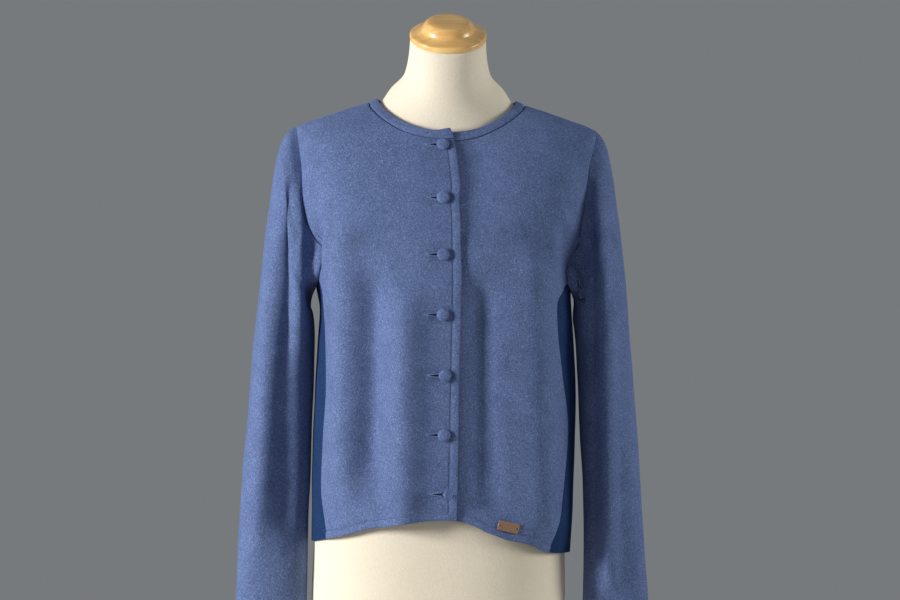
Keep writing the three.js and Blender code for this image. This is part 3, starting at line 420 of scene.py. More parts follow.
def angle_on(station, seam, side):
    """The angle whose x, seen from the front, is what a seam gives at its height."""
    station = np.asarray(station, float)
    angle = np.full(station.shape, side * math.pi / 3)
    loop = {name: BODY[name](station) for name in ("left", "right", "square")}
    for _ in range(12):
        x = seam(loop_point(BODY, station, angle)[..., 2])
        half = np.where((side * x < 0) | (side < 0), loop["left"], loop["right"])
        turn = np.arcsin(np.minimum(np.abs(x) / half, 1) ** (loop["square"] / 2))
        angle = side * np.sign(x) * turn
    return angle


def front_limit(station, side):
    """Where a front ends: at its panel seam, then the armhole, then the shoulder seam."""
    station = np.asarray(station, float)
    panel, scye = (angle_on(station, seam, side) for seam in (PANEL[side], SCYE[side]))
    seam = np.where(station <= PANEL_JOINT, panel, scye)
    return np.where(station >= SHOULDER, side * QUARTER, seam)


def back_limit(station, side):
    station = np.asarray(station, float)
    mirrored = math.pi - np.abs(front_limit(np.maximum(station, PANEL_JOINT), side))
    below = smoothstep(PANEL_JOINT - station, 0, 1.2)
    return np.where(station >= SHOULDER, side * QUARTER, side * lerp(mirrored, BACK_SEAM_ANGLE, below))


def lap_edge(station):
    return angle_on(station, LAP_EDGE, 1)


def under_edge(station):
    return angle_on(station, lambda z: np.full(z.shape, float(UNDER_EDGE_X)), 1)


def place_on(x, z):
    """The station and angle of the front's places that are at x and z when seen from the front."""
    x, z = np.broadcast_arrays(np.asarray(x, float), np.asarray(z, float))
    low, high = np.full(x.shape, float(HEM)), np.full(x.shape, float(NECK_EDGE))
    for _ in range(26):
        middle = (low + high) / 2
        height = body_point(middle, angle_on(middle, lambda _: x, 1))[..., 2]
        low, high = np.where(height < z, middle, low), np.where(height < z, high, middle)
    return low, angle_on(low, lambda _: x, 1)


# ---- Meshes ----


def make_mesh(name, points, faces, material):
    """A smooth-shaded object from points in millimetres and an array or list of faces."""
    mesh = bpy.data.meshes.new(name)
    faces = faces.tolist() if isinstance(faces, np.ndarray) else faces
    mesh.from_pydata((np.asarray(points, float) * MM).tolist(), [], faces)
    mesh.validate()
    mesh.shade_smooth()
    mesh.materials.append(material)
    obj = bpy.data.objects.new(name, mesh)
    bpy.context.scene.collection.objects.link(obj)
    return obj


def finish_piece(obj, slot, *nodes):
    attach(obj, "root")
    if nodes:
        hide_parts(*nodes)


def wall_faces(keep, closed=False):
    """Quads of a wall whose points are an outer grid and then an inner one. keep says which of the grid's
    quads there are: a rim closes each side that has no neighbour."""
    rows, columns = keep.shape[0] + 1, keep.shape[1] + (0 if closed else 1)
    half = rows * columns
    row, column = np.nonzero(keep)
    right = (column + 1) % columns
    a, b = row * columns + column, row * columns + right
    d, e = a + columns, b + columns
    padded = np.pad(keep, 1)
    if closed:
        padded[:, 0], padded[:, -1] = padded[:, -2], padded[:, 1]
    quads = [np.stack([a, b, e, d], 1), np.stack([a, d, e, b], 1) + half]
    for start, end, down, along in ((a, b, 0, 1), (b, e, 1, 2), (e, d, 2, 1), (d, a, 1, 0)):
        open_side = ~padded[row + down, column + along]
        p, q = start[open_side], end[open_side]
        quads.append(np.stack([q, p, p + half, q + half], 1))
    return np.concatenate(quads)


def ring_angles(sides):
    return np.arange(sides) * 2 * math.pi / sides


def tube_faces(rings, sides, first=0, ends=True):
    """Quads between rings of points that start at point first, and a face over each end."""
    ring = first + np.arange(rings * sides).reshape(rings, sides)
    after = np.roll(ring, -1, axis=1)
    faces = np.stack([ring[:-1], after[:-1], after[1:], ring[1:]], -1).reshape(-1, 4).tolist()
    return faces + [ring[0, ::-1].tolist(), ring[-1].tolist()] if ends else faces


OUTER_FACES = {}  # each wall's outer face, from which its cut is worked out


def make_wall(name, outer, inner, material, keep=None, closed=False):
    OUTER_FACES[name] = np.concatenate([outer, outer[:, :1]], 1) if closed else outer
    rows, columns = outer.shape[:2]
    if keep is None:
        keep = np.ones((rows - 1, columns - (0 if closed else 1)), bool)
    faces = wall_faces(keep, closed)
    points = np.concatenate([outer.reshape(-1, 3), inner.reshape(-1, 3)])
    a, b, c, d = (points[faces[:, i]] for i in range(4))
    volume = (a * np.cross(b, c)).sum() + (a * np.cross(c, d)).sum()
    return make_mesh(name, points, faces if volume > 0 else faces[:, ::-1], material)


def rounded_off(distance):
    """How far each face draws in beside an edge."""
    inside = np.clip(1 - distance / EDGE_ROLL, 0, 1)
    return (WALL / 2) * (1 - EDGE_LEFT) * (1 - np.sqrt(1 - inside * inside))


def seam_dip(distance):
    return -SEAM_DIP * np.exp(-((distance / SEAM_DIP_WIDTH) ** 2))


def turned(distance):
    """The lift of a turned edge, with the groove of its topstitch."""
    away = (distance - TURN_FOLD) / (TURN_WIDTH - TURN_FOLD)
    rise = np.clip(1 - away**2, 0.15 * (distance < TURN_FOLD), 1)
    return TURN_RISE * rise - STITCH_GROOVE * np.exp(-(((distance - TURN_WIDTH) / 1.1) ** 2))


def steps_along(start, end, angle, near, far):
    """Stations a grid's step apart along the body's cloth at an angle. near and far are the distances of
    the extra lines from the two ends."""
    at = np.linspace(start, end, 600)
    run = lengths(body_point(at, np.full(at.shape, angle)))
    total = run[-1]
    count = max(int((total - near[-1] - far[-1]) / STEP), 2)
    middle = np.linspace(near[-1], total - far[-1], count + 1)[1:-1]
    return np.interp(np.concatenate([near, middle, total - np.array(far[::-1])]), run, at)


def lengths(points, axis=0):
    """The distance run along a grid's axis."""
    step = np.linalg.norm(np.diff(points, axis=axis), axis=-1)
    pad = [(0, 0)] * step.ndim
    pad[axis] = (1, 0)
    return np.pad(np.cumsum(step, axis=axis), pad)


def spread(stations, low, high, near, far, count):
    """A grid's stations and its angles between two edges, and its distances from both."""
    share = np.linspace(0, 1, 301)[None]
    angle = lerp(low[:, None], high[:, None], share)
    run = lengths(body_point(np.repeat(stations[:, None], 301, 1), angle), axis=1)
    total = run[:, -1:]
    near, far = np.array(near)[None], np.array(far[::-1])[None]
    even = (np.arange(1, count) / count)[None]
    start = np.repeat(near, len(stations), 0)
    end = total - far
    distance = np.concatenate([start, lerp(start[:, -1:], end[:, :1], even), end], axis=1)
    columns = np.stack([np.interp(d, r, a) for d, r, a in zip(distance, run, angle)])
    return np.repeat(stations[:, None], columns.shape[1], 1), columns, distance, total - distance


def lines(gap, *more):
    """The distances of the grid lines beside an edge that stays a gap away from its seam."""
    return [gap + step for step in EDGE_STEPS] + [line for group in more for line in group]


# ---- Materials ----


def material(name, rough, **constants):
    """A new material, its nodes and its surface shader. constants are the shader's unlinked values."""
    made = bpy.data.materials.new(name)
    made.use_nodes = True
    nodes = made.node_tree.nodes
    shader = nodes["Principled BSDF"]
    shader.inputs["Roughness"].default_value = rough
    for socket, value in constants.items():
        shader.inputs[socket.replace("_", " ")].default_value = value
    return made, made.node_tree, shader


def noise(tree, scale, detail, rough=0.5, stretch=(1, 1, 1)):
    """A noise texture on the object's own metres."""
    place = tree.nodes.new("ShaderNodeTexCoord")
    sized = tree.nodes.new("ShaderNodeMapping")
    sized.inputs["Scale"].default_value = stretch
    made = tree.nodes.new("ShaderNodeTexNoise")
    made.inputs["Scale"].default_value = scale
    made.inputs["Detail"].default_value = detail
    made.inputs["Roughness"].default_value = rough
    tree.links.new(place.outputs["Object"], sized.inputs["Vector"])
    tree.links.new(sized.outputs["Vector"], made.inputs["Vector"])
    return made.outputs["Fac"]


def ramp(tree, source, stops):
    """Colours along a value from 0 to 1."""
    made = tree.nodes.new("ShaderNodeValToRGB")
    elements = made.color_ramp.elements
    while len(elements) < len(stops):
        elements.new(0.5)
    for element, (place, colour) in zip(elements, stops):
        element.position = place
        element.color = (*colour, 1)
    tree.links.new(source, made.inputs["Fac"])
    return made.outputs["Color"]


def multiplied(tree, share, first, second):
    made = tree.nodes.new("ShaderNodeMix")
    made.data_type = "RGBA"
    made.blend_type = "MULTIPLY"
    made.inputs["Factor"].default_value = share
    tree.links.new(first, made.inputs["A"])
    tree.links.new(second, made.inputs["B"])
    return made.outputs["Result"]


def added(tree, first, second, share):
    """The first value and a share of the second."""
    made = tree.nodes.new("ShaderNodeMath")
    made.operation = "MULTIPLY_ADD"
    tree.links.new(second, made.inputs[0])
    made.inputs[1].default_value = share
    tree.links.new(first, made.inputs[2])
    return made.outputs["Value"]


def bump(tree, shader, height, depth):
    """Turns a height of 0 to 1 into a relief that is depth metres deep."""
    made = tree.nodes.new("ShaderNodeBump")
    made.inputs["Strength"].default_value = 1
    made.inputs["Distance"].default_value = depth
    tree.links.new(height, made.inputs["Height"])
    tree.links.new(made.outputs["Normal"], shader.inputs["Normal"])


def shade(colour, factor):
    return tuple(min(channel * factor, 1) for channel in colour)


def wool(name, colour, contrast=1.0, relief=0.0009):
    """Boiled wool: heathered, matted fibres with a soft nap."""
    made, tree, shader = material(
        name, 1, Sheen_Weight=0.3, Sheen_Roughness=0.45, Specular_IOR_Level=0.12,
        Sheen_Tint=(*shade(colour, 2.4), 1),
    )
    fleck = noise(tree, 520, 5, 0.75)
    fibre = noise(tree, 1300, 2, 0.6, (1, 1, 0.5))
    cloud = noise(tree, 38, 2)
    dark, light = 1 - 0.52 * contrast, 1 + 0.9 * contrast
    heather = ramp(tree, fleck, [(0.3, shade(colour, dark)), (0.52, colour), (0.7, shade(colour, light))])
    strands = ramp(tree, fibre, [(0.3, (0.72, 0.74, 0.78)), (0.7, (1.28, 1.26, 1.22))])
    patches = ramp(tree, cloud, [(0.3, (0.9, 0.91, 0.92)), (0.7, (1.09, 1.08, 1.07))])
    tone = multiplied(tree, 1.0, multiplied(tree, 0.8, heather, strands), patches)
    tree.links.new(tone, shader.inputs["Base Color"])
    bump(tree, shader, added(tree, fleck, fibre, 0.4), relief)
    return made


def jersey():
    made, tree, shader = material(
        "jersey", 0.85, Sheen_Weight=0.15, Sheen_Roughness=0.4, Specular_IOR_Level=0.2)
    knit = noise(tree, 900, 2, 0.5, (1, 1, 0.35))
    cloud = noise(tree, 9, 2)
    fine = ramp(tree, knit, [(0.3, (0.93, 0.93, 0.93)), (0.7, (1.05, 1.05, 1.05))])
    tone = ramp(tree, cloud, [(0.3, (0.83, 0.745, 0.60)), (0.7, (0.86, 0.78, 0.64))])
    tree.links.new(multiplied(tree, 0.8, tone, fine), shader.inputs["Base Color"])
    bump(tree, shader, knit, 0.0003)
    return made


def wood():
    """Honey-coloured turned wood under varnish, its grain running across."""
    made, tree, shader = material(
        "cap_wood", 0.32, Coat_Weight=0.5, Coat_Roughness=0.12, Specular_IOR_Level=0.5)
    grain = noise(tree, 130, 4, 0.6, (0.12, 1, 1))
    band = noise(tree, 24, 2, 0.5, (0.2, 1, 1))
    figure = ramp(tree, grain, [(0.35, (0.8, 0.455, 0.15)), (0.6, (0.93, 0.59, 0.225))])
    tone = ramp(tree, band, [(0.3, (0.86, 0.84, 0.8)), (0.7, (1.1, 1.08, 1.04))])
    tree.links.new(multiplied(tree, 1.0, figure, tone), shader.inputs["Base Color"])
    bump(tree, shader, grain, 0.00008)
    return made


def leather():
    made, tree, shader = material("label_leather", 0.62, Specular_IOR_Level=0.35)
    grain = noise(tree, 1400, 3, 0.6)
    tone = ramp(tree, grain, [(0.3, (0.235, 0.135, 0.085)), (0.7, (0.33, 0.2, 0.13))])
    tree.links.new(tone, shader.inputs["Base Color"])
    bump(tree, shader, grain, 0.00015)
    return made


def plain(name, colour, rough, **constants):
    made, _, shader = material(name, rough, **constants)
    shader.inputs["Base Color"].default_value = (*colour, 1)
    return made


BLUE = (0.115, 0.165, 0.335)
NAVY = (0.014, 0.037, 0.115)
blue_wool = wool("blue_wool", BLUE)
navy_wool = wool("navy_wool", NAVY, 0.9)
button_cloth = wool("covered_button", shade(BLUE, 1.05), 0.85, 0.0005)
thread = plain("thread", shade(BLUE, 0.78), 0.7, Sheen_Weight=0.2)
hole_thread = plain("hole_thread", (0.17, 0.29, 0.52), 0.7, Sheen_Weight=0.2)
pale_thread = plain("pale_thread", (0.25, 0.45, 0.72), 0.6)
# Near-black painted shade for the tag's holes, not a colour the leather or cloth has.
hole_painted_shade = plain("painted_hole_shade", (0.02, 0.014, 0.012), 0.9)
jersey_cloth = jersey()
cap_wood = wood()
tag_leather = leather()


# ---- The cardigan's body ----

HEM_LINES = lines(0, TURN_LINES, [16, 18.5])
SEAM_LINES = lines(SEAM_GAP / 2, [4.4, 6.4])
MIDDLE_ANGLE = math.radians(35)
BUTTON_PLACES = [tuple(float(v) for v in place_on(x, z)) for x, z, _ in BUTTONS]


def cloth_wall(node, station, angle, lap, lift, edges, skin=blue_wool, slot="blue_wool", keep=None):
    """A piece of the body's cloth. edges are the distances from each of its edges, where it rounds off."""
    outer = cloth_point(station, angle, lap, lift)
    normal = body_normal(station, angle)
    thin = rounded_off(np.minimum.reduce(edges))[..., None]
    wall = make_wall(f"cloth_{node}", outer - normal * thin, outer - normal * (WALL - thin), skin, keep)
    finish_piece(wall, slot, node)


def front_stations(holes):
    """Rows of a front, close together beside each buttonhole, and each hole's station and rise."""
    rows = steps_along(HEM, BAND_SEAM, MIDDLE_ANGLE, HEM_LINES, lines(0))
    if not holes:
        return rows, []
    pairs = []
    for station, angle in BUTTON_PLACES:
        rise = (body_point(station + 0.01, angle)[2] - body_point(station - 0.01, angle)[2]) / 0.02
        fine = station + np.array(HOLE_ROWS) / rise
        rows = rows[(rows < fine[0] - 1.2 / rise) | (rows > fine[-1] + 1.2 / rise)]
        rows = np.sort(np.concatenate([rows, fine]))
        pairs.append((station, rise))
    return rows, pairs


def slits(rows, station, angle, pairs):
    """Moves the rows beside each buttonhole apart, and gives the quads that stay."""
    keep = np.ones((len(rows) - 1, angle.shape[1] - 1), bool)
    for (x, _, _), (centre, rise) in zip(BUTTONS, pairs):
        left, right = x - HOLE_START, x + HOLE_END
        below = int(np.searchsorted(rows, centre)) - 1
        across = body_point(np.full(angle.shape[1], centre), angle[below])[:, 0]
        along = (across - left) / (right - left)
        # The slit gapes most a little left of the button's shank.
        gape = HOLE_OPEN * np.clip(along, 0, 1) ** 0.8 * np.clip((1 - along) / 0.25, 0, 1) ** 0.5
        near = np.abs(rows - centre) * rise
        share = np.clip(1 - near / (HOLE_ROWS[-1] + 1), 0, 1)
        station += np.sign(rows - centre)[:, None] * share[:, None] * gape[None] / rise
        inside = (across > left) & (across < right)
        keep[below] &= ~(inside[:-1] & inside[1:])
    return keep


def hole_lip(points):
    """The raised, stitched edge round each buttonhole, by place."""
    total = np.zeros(points.shape[:-1])
    for x, z, _ in BUTTONS:
        along = np.clip(points[..., 0], x - HOLE_START, x + HOLE_END)
        off = np.hypot(points[..., 0] - along, points[..., 2] - z)
        total += HOLE_LIP * np.exp(-(((off - 1.6) / 1.2) ** 2))
        # The cloth is drawn in a little towards each button.
        total -= BUTTON_PULL * np.exp(-(((points[..., 0] - x) / 13) ** 2) - ((points[..., 2] - z) / 11) ** 2)
    return total


def front_piece(side):
    """A front. The upper one's own edge is turned and topstitched like its hem."""
    upper = side < 0
    rows, pairs = front_stations(upper)
    edge = lap_edge(rows) if upper else under_edge(rows)
    seam = front_limit(rows, side)
    if upper:
        edge_lines = lines(0, TURN_LINES, np.arange(TURN_LINES[-1] + 1.2, 46, HOLE_COLUMNS))
        station, angle, from_seam, from_edge = spread(
            rows, seam, edge, SEAM_LINES, edge_lines, FRONT_COLUMNS[side])
        keep = slits(rows, station, angle, pairs)
    else:
        station, angle, from_edge, from_seam = spread(
            rows, edge, seam, lines(0, TURN_LINES), SEAM_LINES, FRONT_COLUMNS[side])
        keep = None
    base = body_point(station, angle)
    from_hem = lengths(base)
    from_neck = from_hem[-1:] - from_hem + SEAM_GAP / 2
    lift = turned(np.minimum(from_hem, from_edge) if upper else from_hem)
    lift = lift + seam_dip(from_seam) + seam_dip(from_neck)
    if upper:
        lift = lift + hole_lip(base)
    edges = (from_seam, from_edge, from_hem, from_neck)
    cloth_wall(f"front_{SIDES[side]}", station, angle, 1 if upper else -1, lift, edges, keep=keep)


def back_piece():
    rows = steps_along(HEM, BAND_SEAM, math.pi - MIDDLE_ANGLE, HEM_LINES, lines(0))
    low, high = back_limit(rows, 1), 2 * math.pi + back_limit(rows, -1)
    station, angle, from_low, from_high = spread(rows, low, high, SEAM_LINES, SEAM_LINES, BACK_COLUMNS)
    from_hem = lengths(body_point(station, angle))
    from_neck = from_hem[-1:] - from_hem + SEAM_GAP / 2
    lift = turned(from_hem) + seam_dip(from_low) + seam_dip(from_high) + seam_dip(from_neck)
    cloth_wall("back", station, angle, 0, lift, (from_low, from_high, from_hem, from_neck))


def side_top(share):
    return lerp(PANEL_JOINT, UNDERARM, np.sin(share * math.pi) ** 2)


def side_piece(side):
    rows = steps_along(HEM, PANEL_JOINT, side * QUARTER, lines(0), lines(0))
    low, high = front_limit(rows, side), back_limit(rows, side)
    _, angle, from_low, from_high = spread(rows, low, high, lines(SEAM_GAP), lines(SEAM_GAP), SIDE_COLUMNS)
    share = (angle - low[:, None]) / (high - low)[:, None]
    station = rows[:, None] * side_top(share) / PANEL_JOINT
    low, high = front_limit(station, side), back_limit(station, side)
    angle = lerp(low, high, share)
    from_hem = lengths(body_point(station, angle))
    from_top = from_hem[-1:] - from_hem + SEAM_GAP
    lift = seam_dip(from_low) + seam_dip(from_high) + 0.6 * seam_dip(from_top)
    edges = (from_low, from_high, from_hem, from_top)
    cloth_wall(f"side_panel_{SIDES[side]}", station, angle, 0, lift, edges, navy_wool, "navy_wool")


def neckband_piece():
    rows = steps_along(BAND_SEAM + 0.07, NECK_EDGE, QUARTER, lines(BAND_GAP), lines(0))
    low, high = under_edge(rows), 2 * math.pi + lap_edge(rows)
    station, angle, from_low, from_high = spread(rows, low, high, lines(0), lines(0), BAND_COLUMNS)
    from_seam = lengths(body_point(station, angle)) + BAND_GAP
    from_edge = from_seam[-1:] - from_seam
    # The folded strip is full, and its stitched seam lies in a ditch.
    full = 0.35 * np.sin(np.clip(from_seam / (from_seam[-1:] + 1e-9), 0, 1) * math.pi) ** 0.7
    lap = np.where(angle > math.pi, 1, -1)
    edges = (from_low, from_high, from_seam, from_edge)
    cloth_wall("neckband", station, angle, lap, seam_dip(from_seam) + full, edges)


# ---- Sleeves ----


def armhole_edge(side):
    """Even places round the armhole, from the shoulder point down the front and up the back: their stations,
    their points on the cloth, the way the cloth faces and the way into the armhole."""
    down = np.linspace(SHOULDER, PANEL_JOINT, 400)
    share = np.linspace(0, 1, 80)[1:-1]
    under = side_top(share)
    station = np.concatenate([down, under, down[::-1]])
    beneath = lerp(front_limit(under, side), back_limit(under, side), share)
    angle = np.concatenate([front_limit(down, side), beneath, back_limit(down[::-1], side)])
    run = lengths(body_point(station, angle))
    even = np.linspace(0, run[-1], SLEEVE_COLUMNS, endpoint=False)
    station, angle = np.interp(even, run, station), np.interp(even, run, angle)
    seat, normal = cloth_point(station, angle), body_normal(station, angle)
    away = unit(np.cross(np.roll(seat, -1, 0) - np.roll(seat, 1, 0), normal))
    heart = body_point(np.array(HEART_STATION), np.array(side * QUARTER))
    away[((heart - seat) * away).sum(1) < 0] *= -1
    return station, seat, normal, away


def sleeve_piece(side):
    rings = follow_all(SLEEVE_RINGS[side], RING_COLUMNS)
    last = len(SLEEVE_RINGS[side]) - 1
    _, seat, normal, away = armhole_edge(side)

    def ring_frame(at):
        outer = np.stack([side * rings["out_x"](at), rings["mid"](at), rings["out_z"](at)], -1)
        inner = np.stack([side * rings["in_x"](at), rings["mid"](at), rings["in_z"](at)], -1)
        middle = (outer + inner) / 2
        return middle, outer - middle

    middle, reach = ring_frame(np.array(0.0))
    place = seat - middle
    out = place @ reach / (reach @ reach)
    turn = np.arctan2(-place[:, 1] / rings["deep"](0.0), out)

    def ring_point(at):
        """All the points of the rings at an array of stations."""
        middle, reach = ring_frame(at)
        power = 2 / SLEEVE_SQUARE
        out, ahead = np.cos(turn), np.sin(turn)
        point = middle[:, None] + reach[:, None] * (np.sign(out) * np.abs(out) ** power)[None, :, None]
        point[..., 1] -= rings["deep"](at)[:, None] * (np.sign(ahead) * np.abs(ahead) ** power)[None]
        return point

    bend = QUARTER * ((1 - np.cos(turn)) / 2) ** SLEEVE_BEND
    cos, sin = np.cos(bend)[:, None], np.sin(bend)[:, None]
    leave = away * cos + normal * sin
    inward = away * sin - normal * cos
    rim = seat - leave * SLEEVE_TUCK - inward * WALL * sin * sin

    # Rows an even step apart along the outer line, close together at the armhole and the cuff.
    fine = np.linspace(0, last, 900)
    middle, reach = ring_frame(fine)
    run = lengths(middle + reach)
    total = run[-1]
    body = np.linspace(6, total - 14, int((total - 20) / STEP))
    cuff = total - np.array([11, 8, 5, *EDGE_STEPS[::-1]])
    at = np.interp(np.concatenate([EDGE_STEPS, [4.2], body, cuff]), run, fine)

    keep = 1 - smoothstep(at, 0, ARMHOLE_FADE)
    base = ring_point(at) + (rim - ring_point(np.array([0.0]))[0])[None] * keep[:, None, None]
    along = np.gradient(base, axis=0)
    around = np.roll(base, -1, 1) - np.roll(base, 1, 1)
    face = unit(np.cross(along, around))
    middle, _ = ring_frame(at)
    outside = ((base - middle[:, None]) * face).sum(-1) < 0
    face[outside] *= -1
    face[0] = -inward
    blend = smoothstep(at, 0, 0.6)[:, None, None]
    face = unit(lerp(-inward[None], face, blend))

    x, z = base[..., 0], base[..., 2]
    ahead = np.sin(turn)[None]
    folds = 0
    for lists, free in ((SLEEVE_FOLDS[side], FOLD_FREE), (SLEEVE_CREASES[side], CREASE_FREE)):
        lift = folds_at(lists, ahead, x, z)
        folds = folds + lift * smoothstep(np.abs(ahead), 0, 0.5) * smoothstep(at, 0, free)[:, None]
    from_armhole = lengths(base) + BAND_GAP
    from_cuff = from_armhole[-1:] - from_armhole
    lift = folds + seam_dip(from_armhole) + turned(from_cuff)
    lift = lift + UNEVEN * uneven(base) * smoothstep(at, 0, 1)[:, None]
    thin = rounded_off(np.minimum(from_armhole, from_cuff))
    outer = base + face * (lift - thin)[..., None]
    inner = base + face * (lift + thin - WALL)[..., None]
    node = f"sleeve_{SIDES[side]}"
    finish_piece(make_wall(f"cloth_{node}", outer, inner, blue_wool, closed=True), "blue_wool", node)


# ---- Seam allowances, inside ----


def allowance(name, middle, across, normal, widths, closed=False):
    """The two raw edges of a seam, pressed open behind it. across points along the cloth, and widths are
    how far the allowances reach to its two sides."""
    offsets = np.linspace(-widths[0], widths[1], 7)
    grid = middle[None] + across[None] * offsets[:, None, None]
    top = grid - normal[None] * (WALL + ALLOWANCE_GAP)
    under = top - normal[None] * ALLOWANCE_THICK
    finish_piece(make_wall(name, top, under, blue_wool, closed=closed), "blue_wool")


def body_seam(name, station, angle, widths=(ALLOWANCE, ALLOWANCE), lap=0):
    middle = cloth_point(station, angle, lap)
    normal = body_normal(station, angle)
    along = unit(np.gradient(middle, axis=0))
    allowance(name, middle, unit(np.cross(along, normal)), normal, widths)


def allowances():
    rows = np.linspace(HEM + 0.03, PANEL_JOINT, 130)
    top = np.linspace(SHOULDER, BAND_SEAM - 0.05, 50)
    for side, name in SIDES.items():
        body_seam(f"allowance_front_{name}", rows, front_limit(rows, side))
        body_seam(f"allowance_back_{name}", rows, back_limit(rows, side))
        body_seam(f"allowance_shoulder_{name}", top, np.full(top.shape, side * QUARTER))
        station, seat, normal, away = armhole_edge(side)
        # The allowance is trimmed away towards the shoulder point, where the cloth bends sharply.
        width = lerp(ALLOWANCE_TRIM, 1, smoothstep(SHOULDER - station, 0.1, 0.7))[:, None]
        allowance(f"allowance_armhole_{name}", seat, -away * width, normal, (1.6, ALLOWANCE), closed=True)
    seam = np.array([float(BAND_SEAM)])
    ring = np.linspace(under_edge(seam)[0] + 0.02, 2 * math.pi + lap_edge(seam)[0] - 0.02, 240)
    lap = np.where(ring > math.pi, 1, -1)
    body_seam("allowance_neck", np.full(ring.shape, BAND_SEAM + 0.03), ring, (5.5, 5.5), lap)


# ---- The form and its cap ----


def form_piece():
    last = len(FORM_LOOPS) - 1
    fine = np.linspace(0, last, 1200)
    run = lengths(rounded_point(FORM, fine, np.zeros(fine.shape), last, FORM_ROUNDING))
    rows = np.interp(np.linspace(0, run[-1], FORM_ROWS), run, fine)
    angle = ring_angles(FORM_SIDES)
    grid = rounded_point(FORM, *np.meshgrid(rows, angle, indexing="ij"), last, FORM_ROUNDING)
    points = np.concatenate([grid.reshape(-1, 3), [[0, 0, 0]], [grid[-1].mean(0)]])
    foot, head, top = len(points) - 2, len(points) - 1, (FORM_ROWS - 1) * FORM_SIDES
    pairs = [(side, (side + 1) % FORM_SIDES) for side in range(FORM_SIDES)]
    faces = tube_faces(FORM_ROWS, FORM_SIDES, ends=False)
    faces += [(foot, b, a) for a, b in pairs] + [(head, top + a, top + b) for a, b in pairs]
    finish_piece(make_mesh("form_body", points, faces, jersey_cloth), "jersey", "form_torso")


def spin_to(facing):
    """The rotation that turns +Z to a direction."""
    return np.array(Vector(facing).to_track_quat("Z", "Y").to_matrix())


def turned_piece(name, profile, sides, skin, place, facing):
    """A turned solid: profile is its radius and height pairs, facing the direction of its axis."""
    angle = ring_angles(sides)
    ring = np.stack([np.cos(angle), np.sin(angle)], 1)
    points = np.array([(radius * c, radius * s, height) for radius, height in profile for c, s in ring])
    return make_mesh(name, points @ spin_to(facing).T + place, tube_faces(len(profile), sides), skin)


def eased(corners, radius, steps):
    """A profile with its inner corners rounded off."""
    out = [corners[0]]
    for before, at, after in zip(corners, corners[1:], corners[2:]):
        at = np.array(at, float)
        sides = [np.array(p, float) - at for p in (before, after)]
        sizes = [np.linalg.norm(side) for side in sides]
        reach = min(radius, *(size * 0.45 for size in sizes))
        start, end = (at + side / size * reach for side, size in zip(sides, sizes))
        for i in range(steps + 1):
            u = i / steps
            out.append(tuple((1 - u) ** 2 * start + 2 * u * (1 - u) * at + u * u * end))
    return out + [corners[-1]]


def cap_piece():
    flange, edge, foot, height, top = (CAP[key] for key in ("flange", "edge", "foot", "height", "top"))
    corners = [
        (0.5, 0), (flange - 1.5, 0), (flange, 1.5), (flange, edge - 1.5), (flange - 1.5, edge),
        (foot + 6, edge + 2), (foot, edge + 5), (foot - 1.5, edge + 9.5), (top + 3, height - 3.5),
        (top, height - 1), (top - 6, height), (0.5, height),
    ]
    lean = math.radians(CAP["tilt"])
    axis = np.array([0, -math.sin(lean), math.cos(lean)])
    place = np.array([0, CAP["y"], CAP["z"]]) + axis * SEAM_GAP
    cap = turned_piece("cap_body", eased(corners, 2.2, 5), 96, cap_wood, place, axis)
    finish_piece(cap, "cap_wood", "neck_cap")


# ---- Buttons, sewing and the tag ----


def button_frame(index):
    """A button's base point on the cloth, the way it faces and the height of its underside."""
    x, z, turn = BUTTONS[index]
    station, angle = BUTTON_PLACES[index]
    normal = cloth_normal(np.array(station), np.array(angle), 1)
    lean = math.radians(turn)
    facing = np.array(Matrix.Rotation(lean, 3, "Z") @ Vector(normal))
    shank = 0.2 + BUTTON_RADIUS * math.sin(lean)
    clear = BUTTON_LIFT + shank + BUTTON_SHANK_RADIUS * math.sin(lean)
    place = cloth_point(np.array(station), np.array(angle), 1) + normal * clear
    return place, facing, shank


def button_piece(index):
    """A dome covered with wool that is gathered over its edge."""
    place, facing, shank = button_frame(index)
    radius, dome = BUTTON_RADIUS, BUTTON_DOME
    profile = eased(
        [(0.3, -shank), (BUTTON_SHANK_RADIUS, -shank), (BUTTON_SHANK_RADIUS, 0.05), (radius - 1.3, 0.05),
         (radius, 1.2), (radius - 0.25, 2.5), (radius - 2.1, 3.9), (3.4, dome - 0.15), (0.3, dome)], 1.1, 4)
    obj = turned_piece(f"covered_button_{index + 1}", profile, 60, button_cloth, place, facing)
    rng = np.random.default_rng(20 + index)
    phases = rng.uniform(0, 2 * math.pi, 3)
    spin = spin_to(facing)
    for vertex in obj.data.vertices:
        local = (np.array(vertex.co) / MM - place) @ spin
        out = math.hypot(local[0], local[1])
        if out < radius * 0.6 or local[2] < 0:
            continue
        turn = math.atan2(local[1], local[0])
        gather = sum(math.sin(k * turn + p) for k, p in zip(GATHER_WAVES, phases)) / 3
        shift = GATHER_DEPTH * gather * (out / radius) ** 2 * (1 if local[2] < 2.6 else 0.45)
        local[:2] *= 1 - abs(shift) / radius
        local[2] += shift * 0.5
        vertex.co = Vector((spin @ local + place) * MM)
    finish_piece(obj, "covered_button", f"button_{index + 1}")


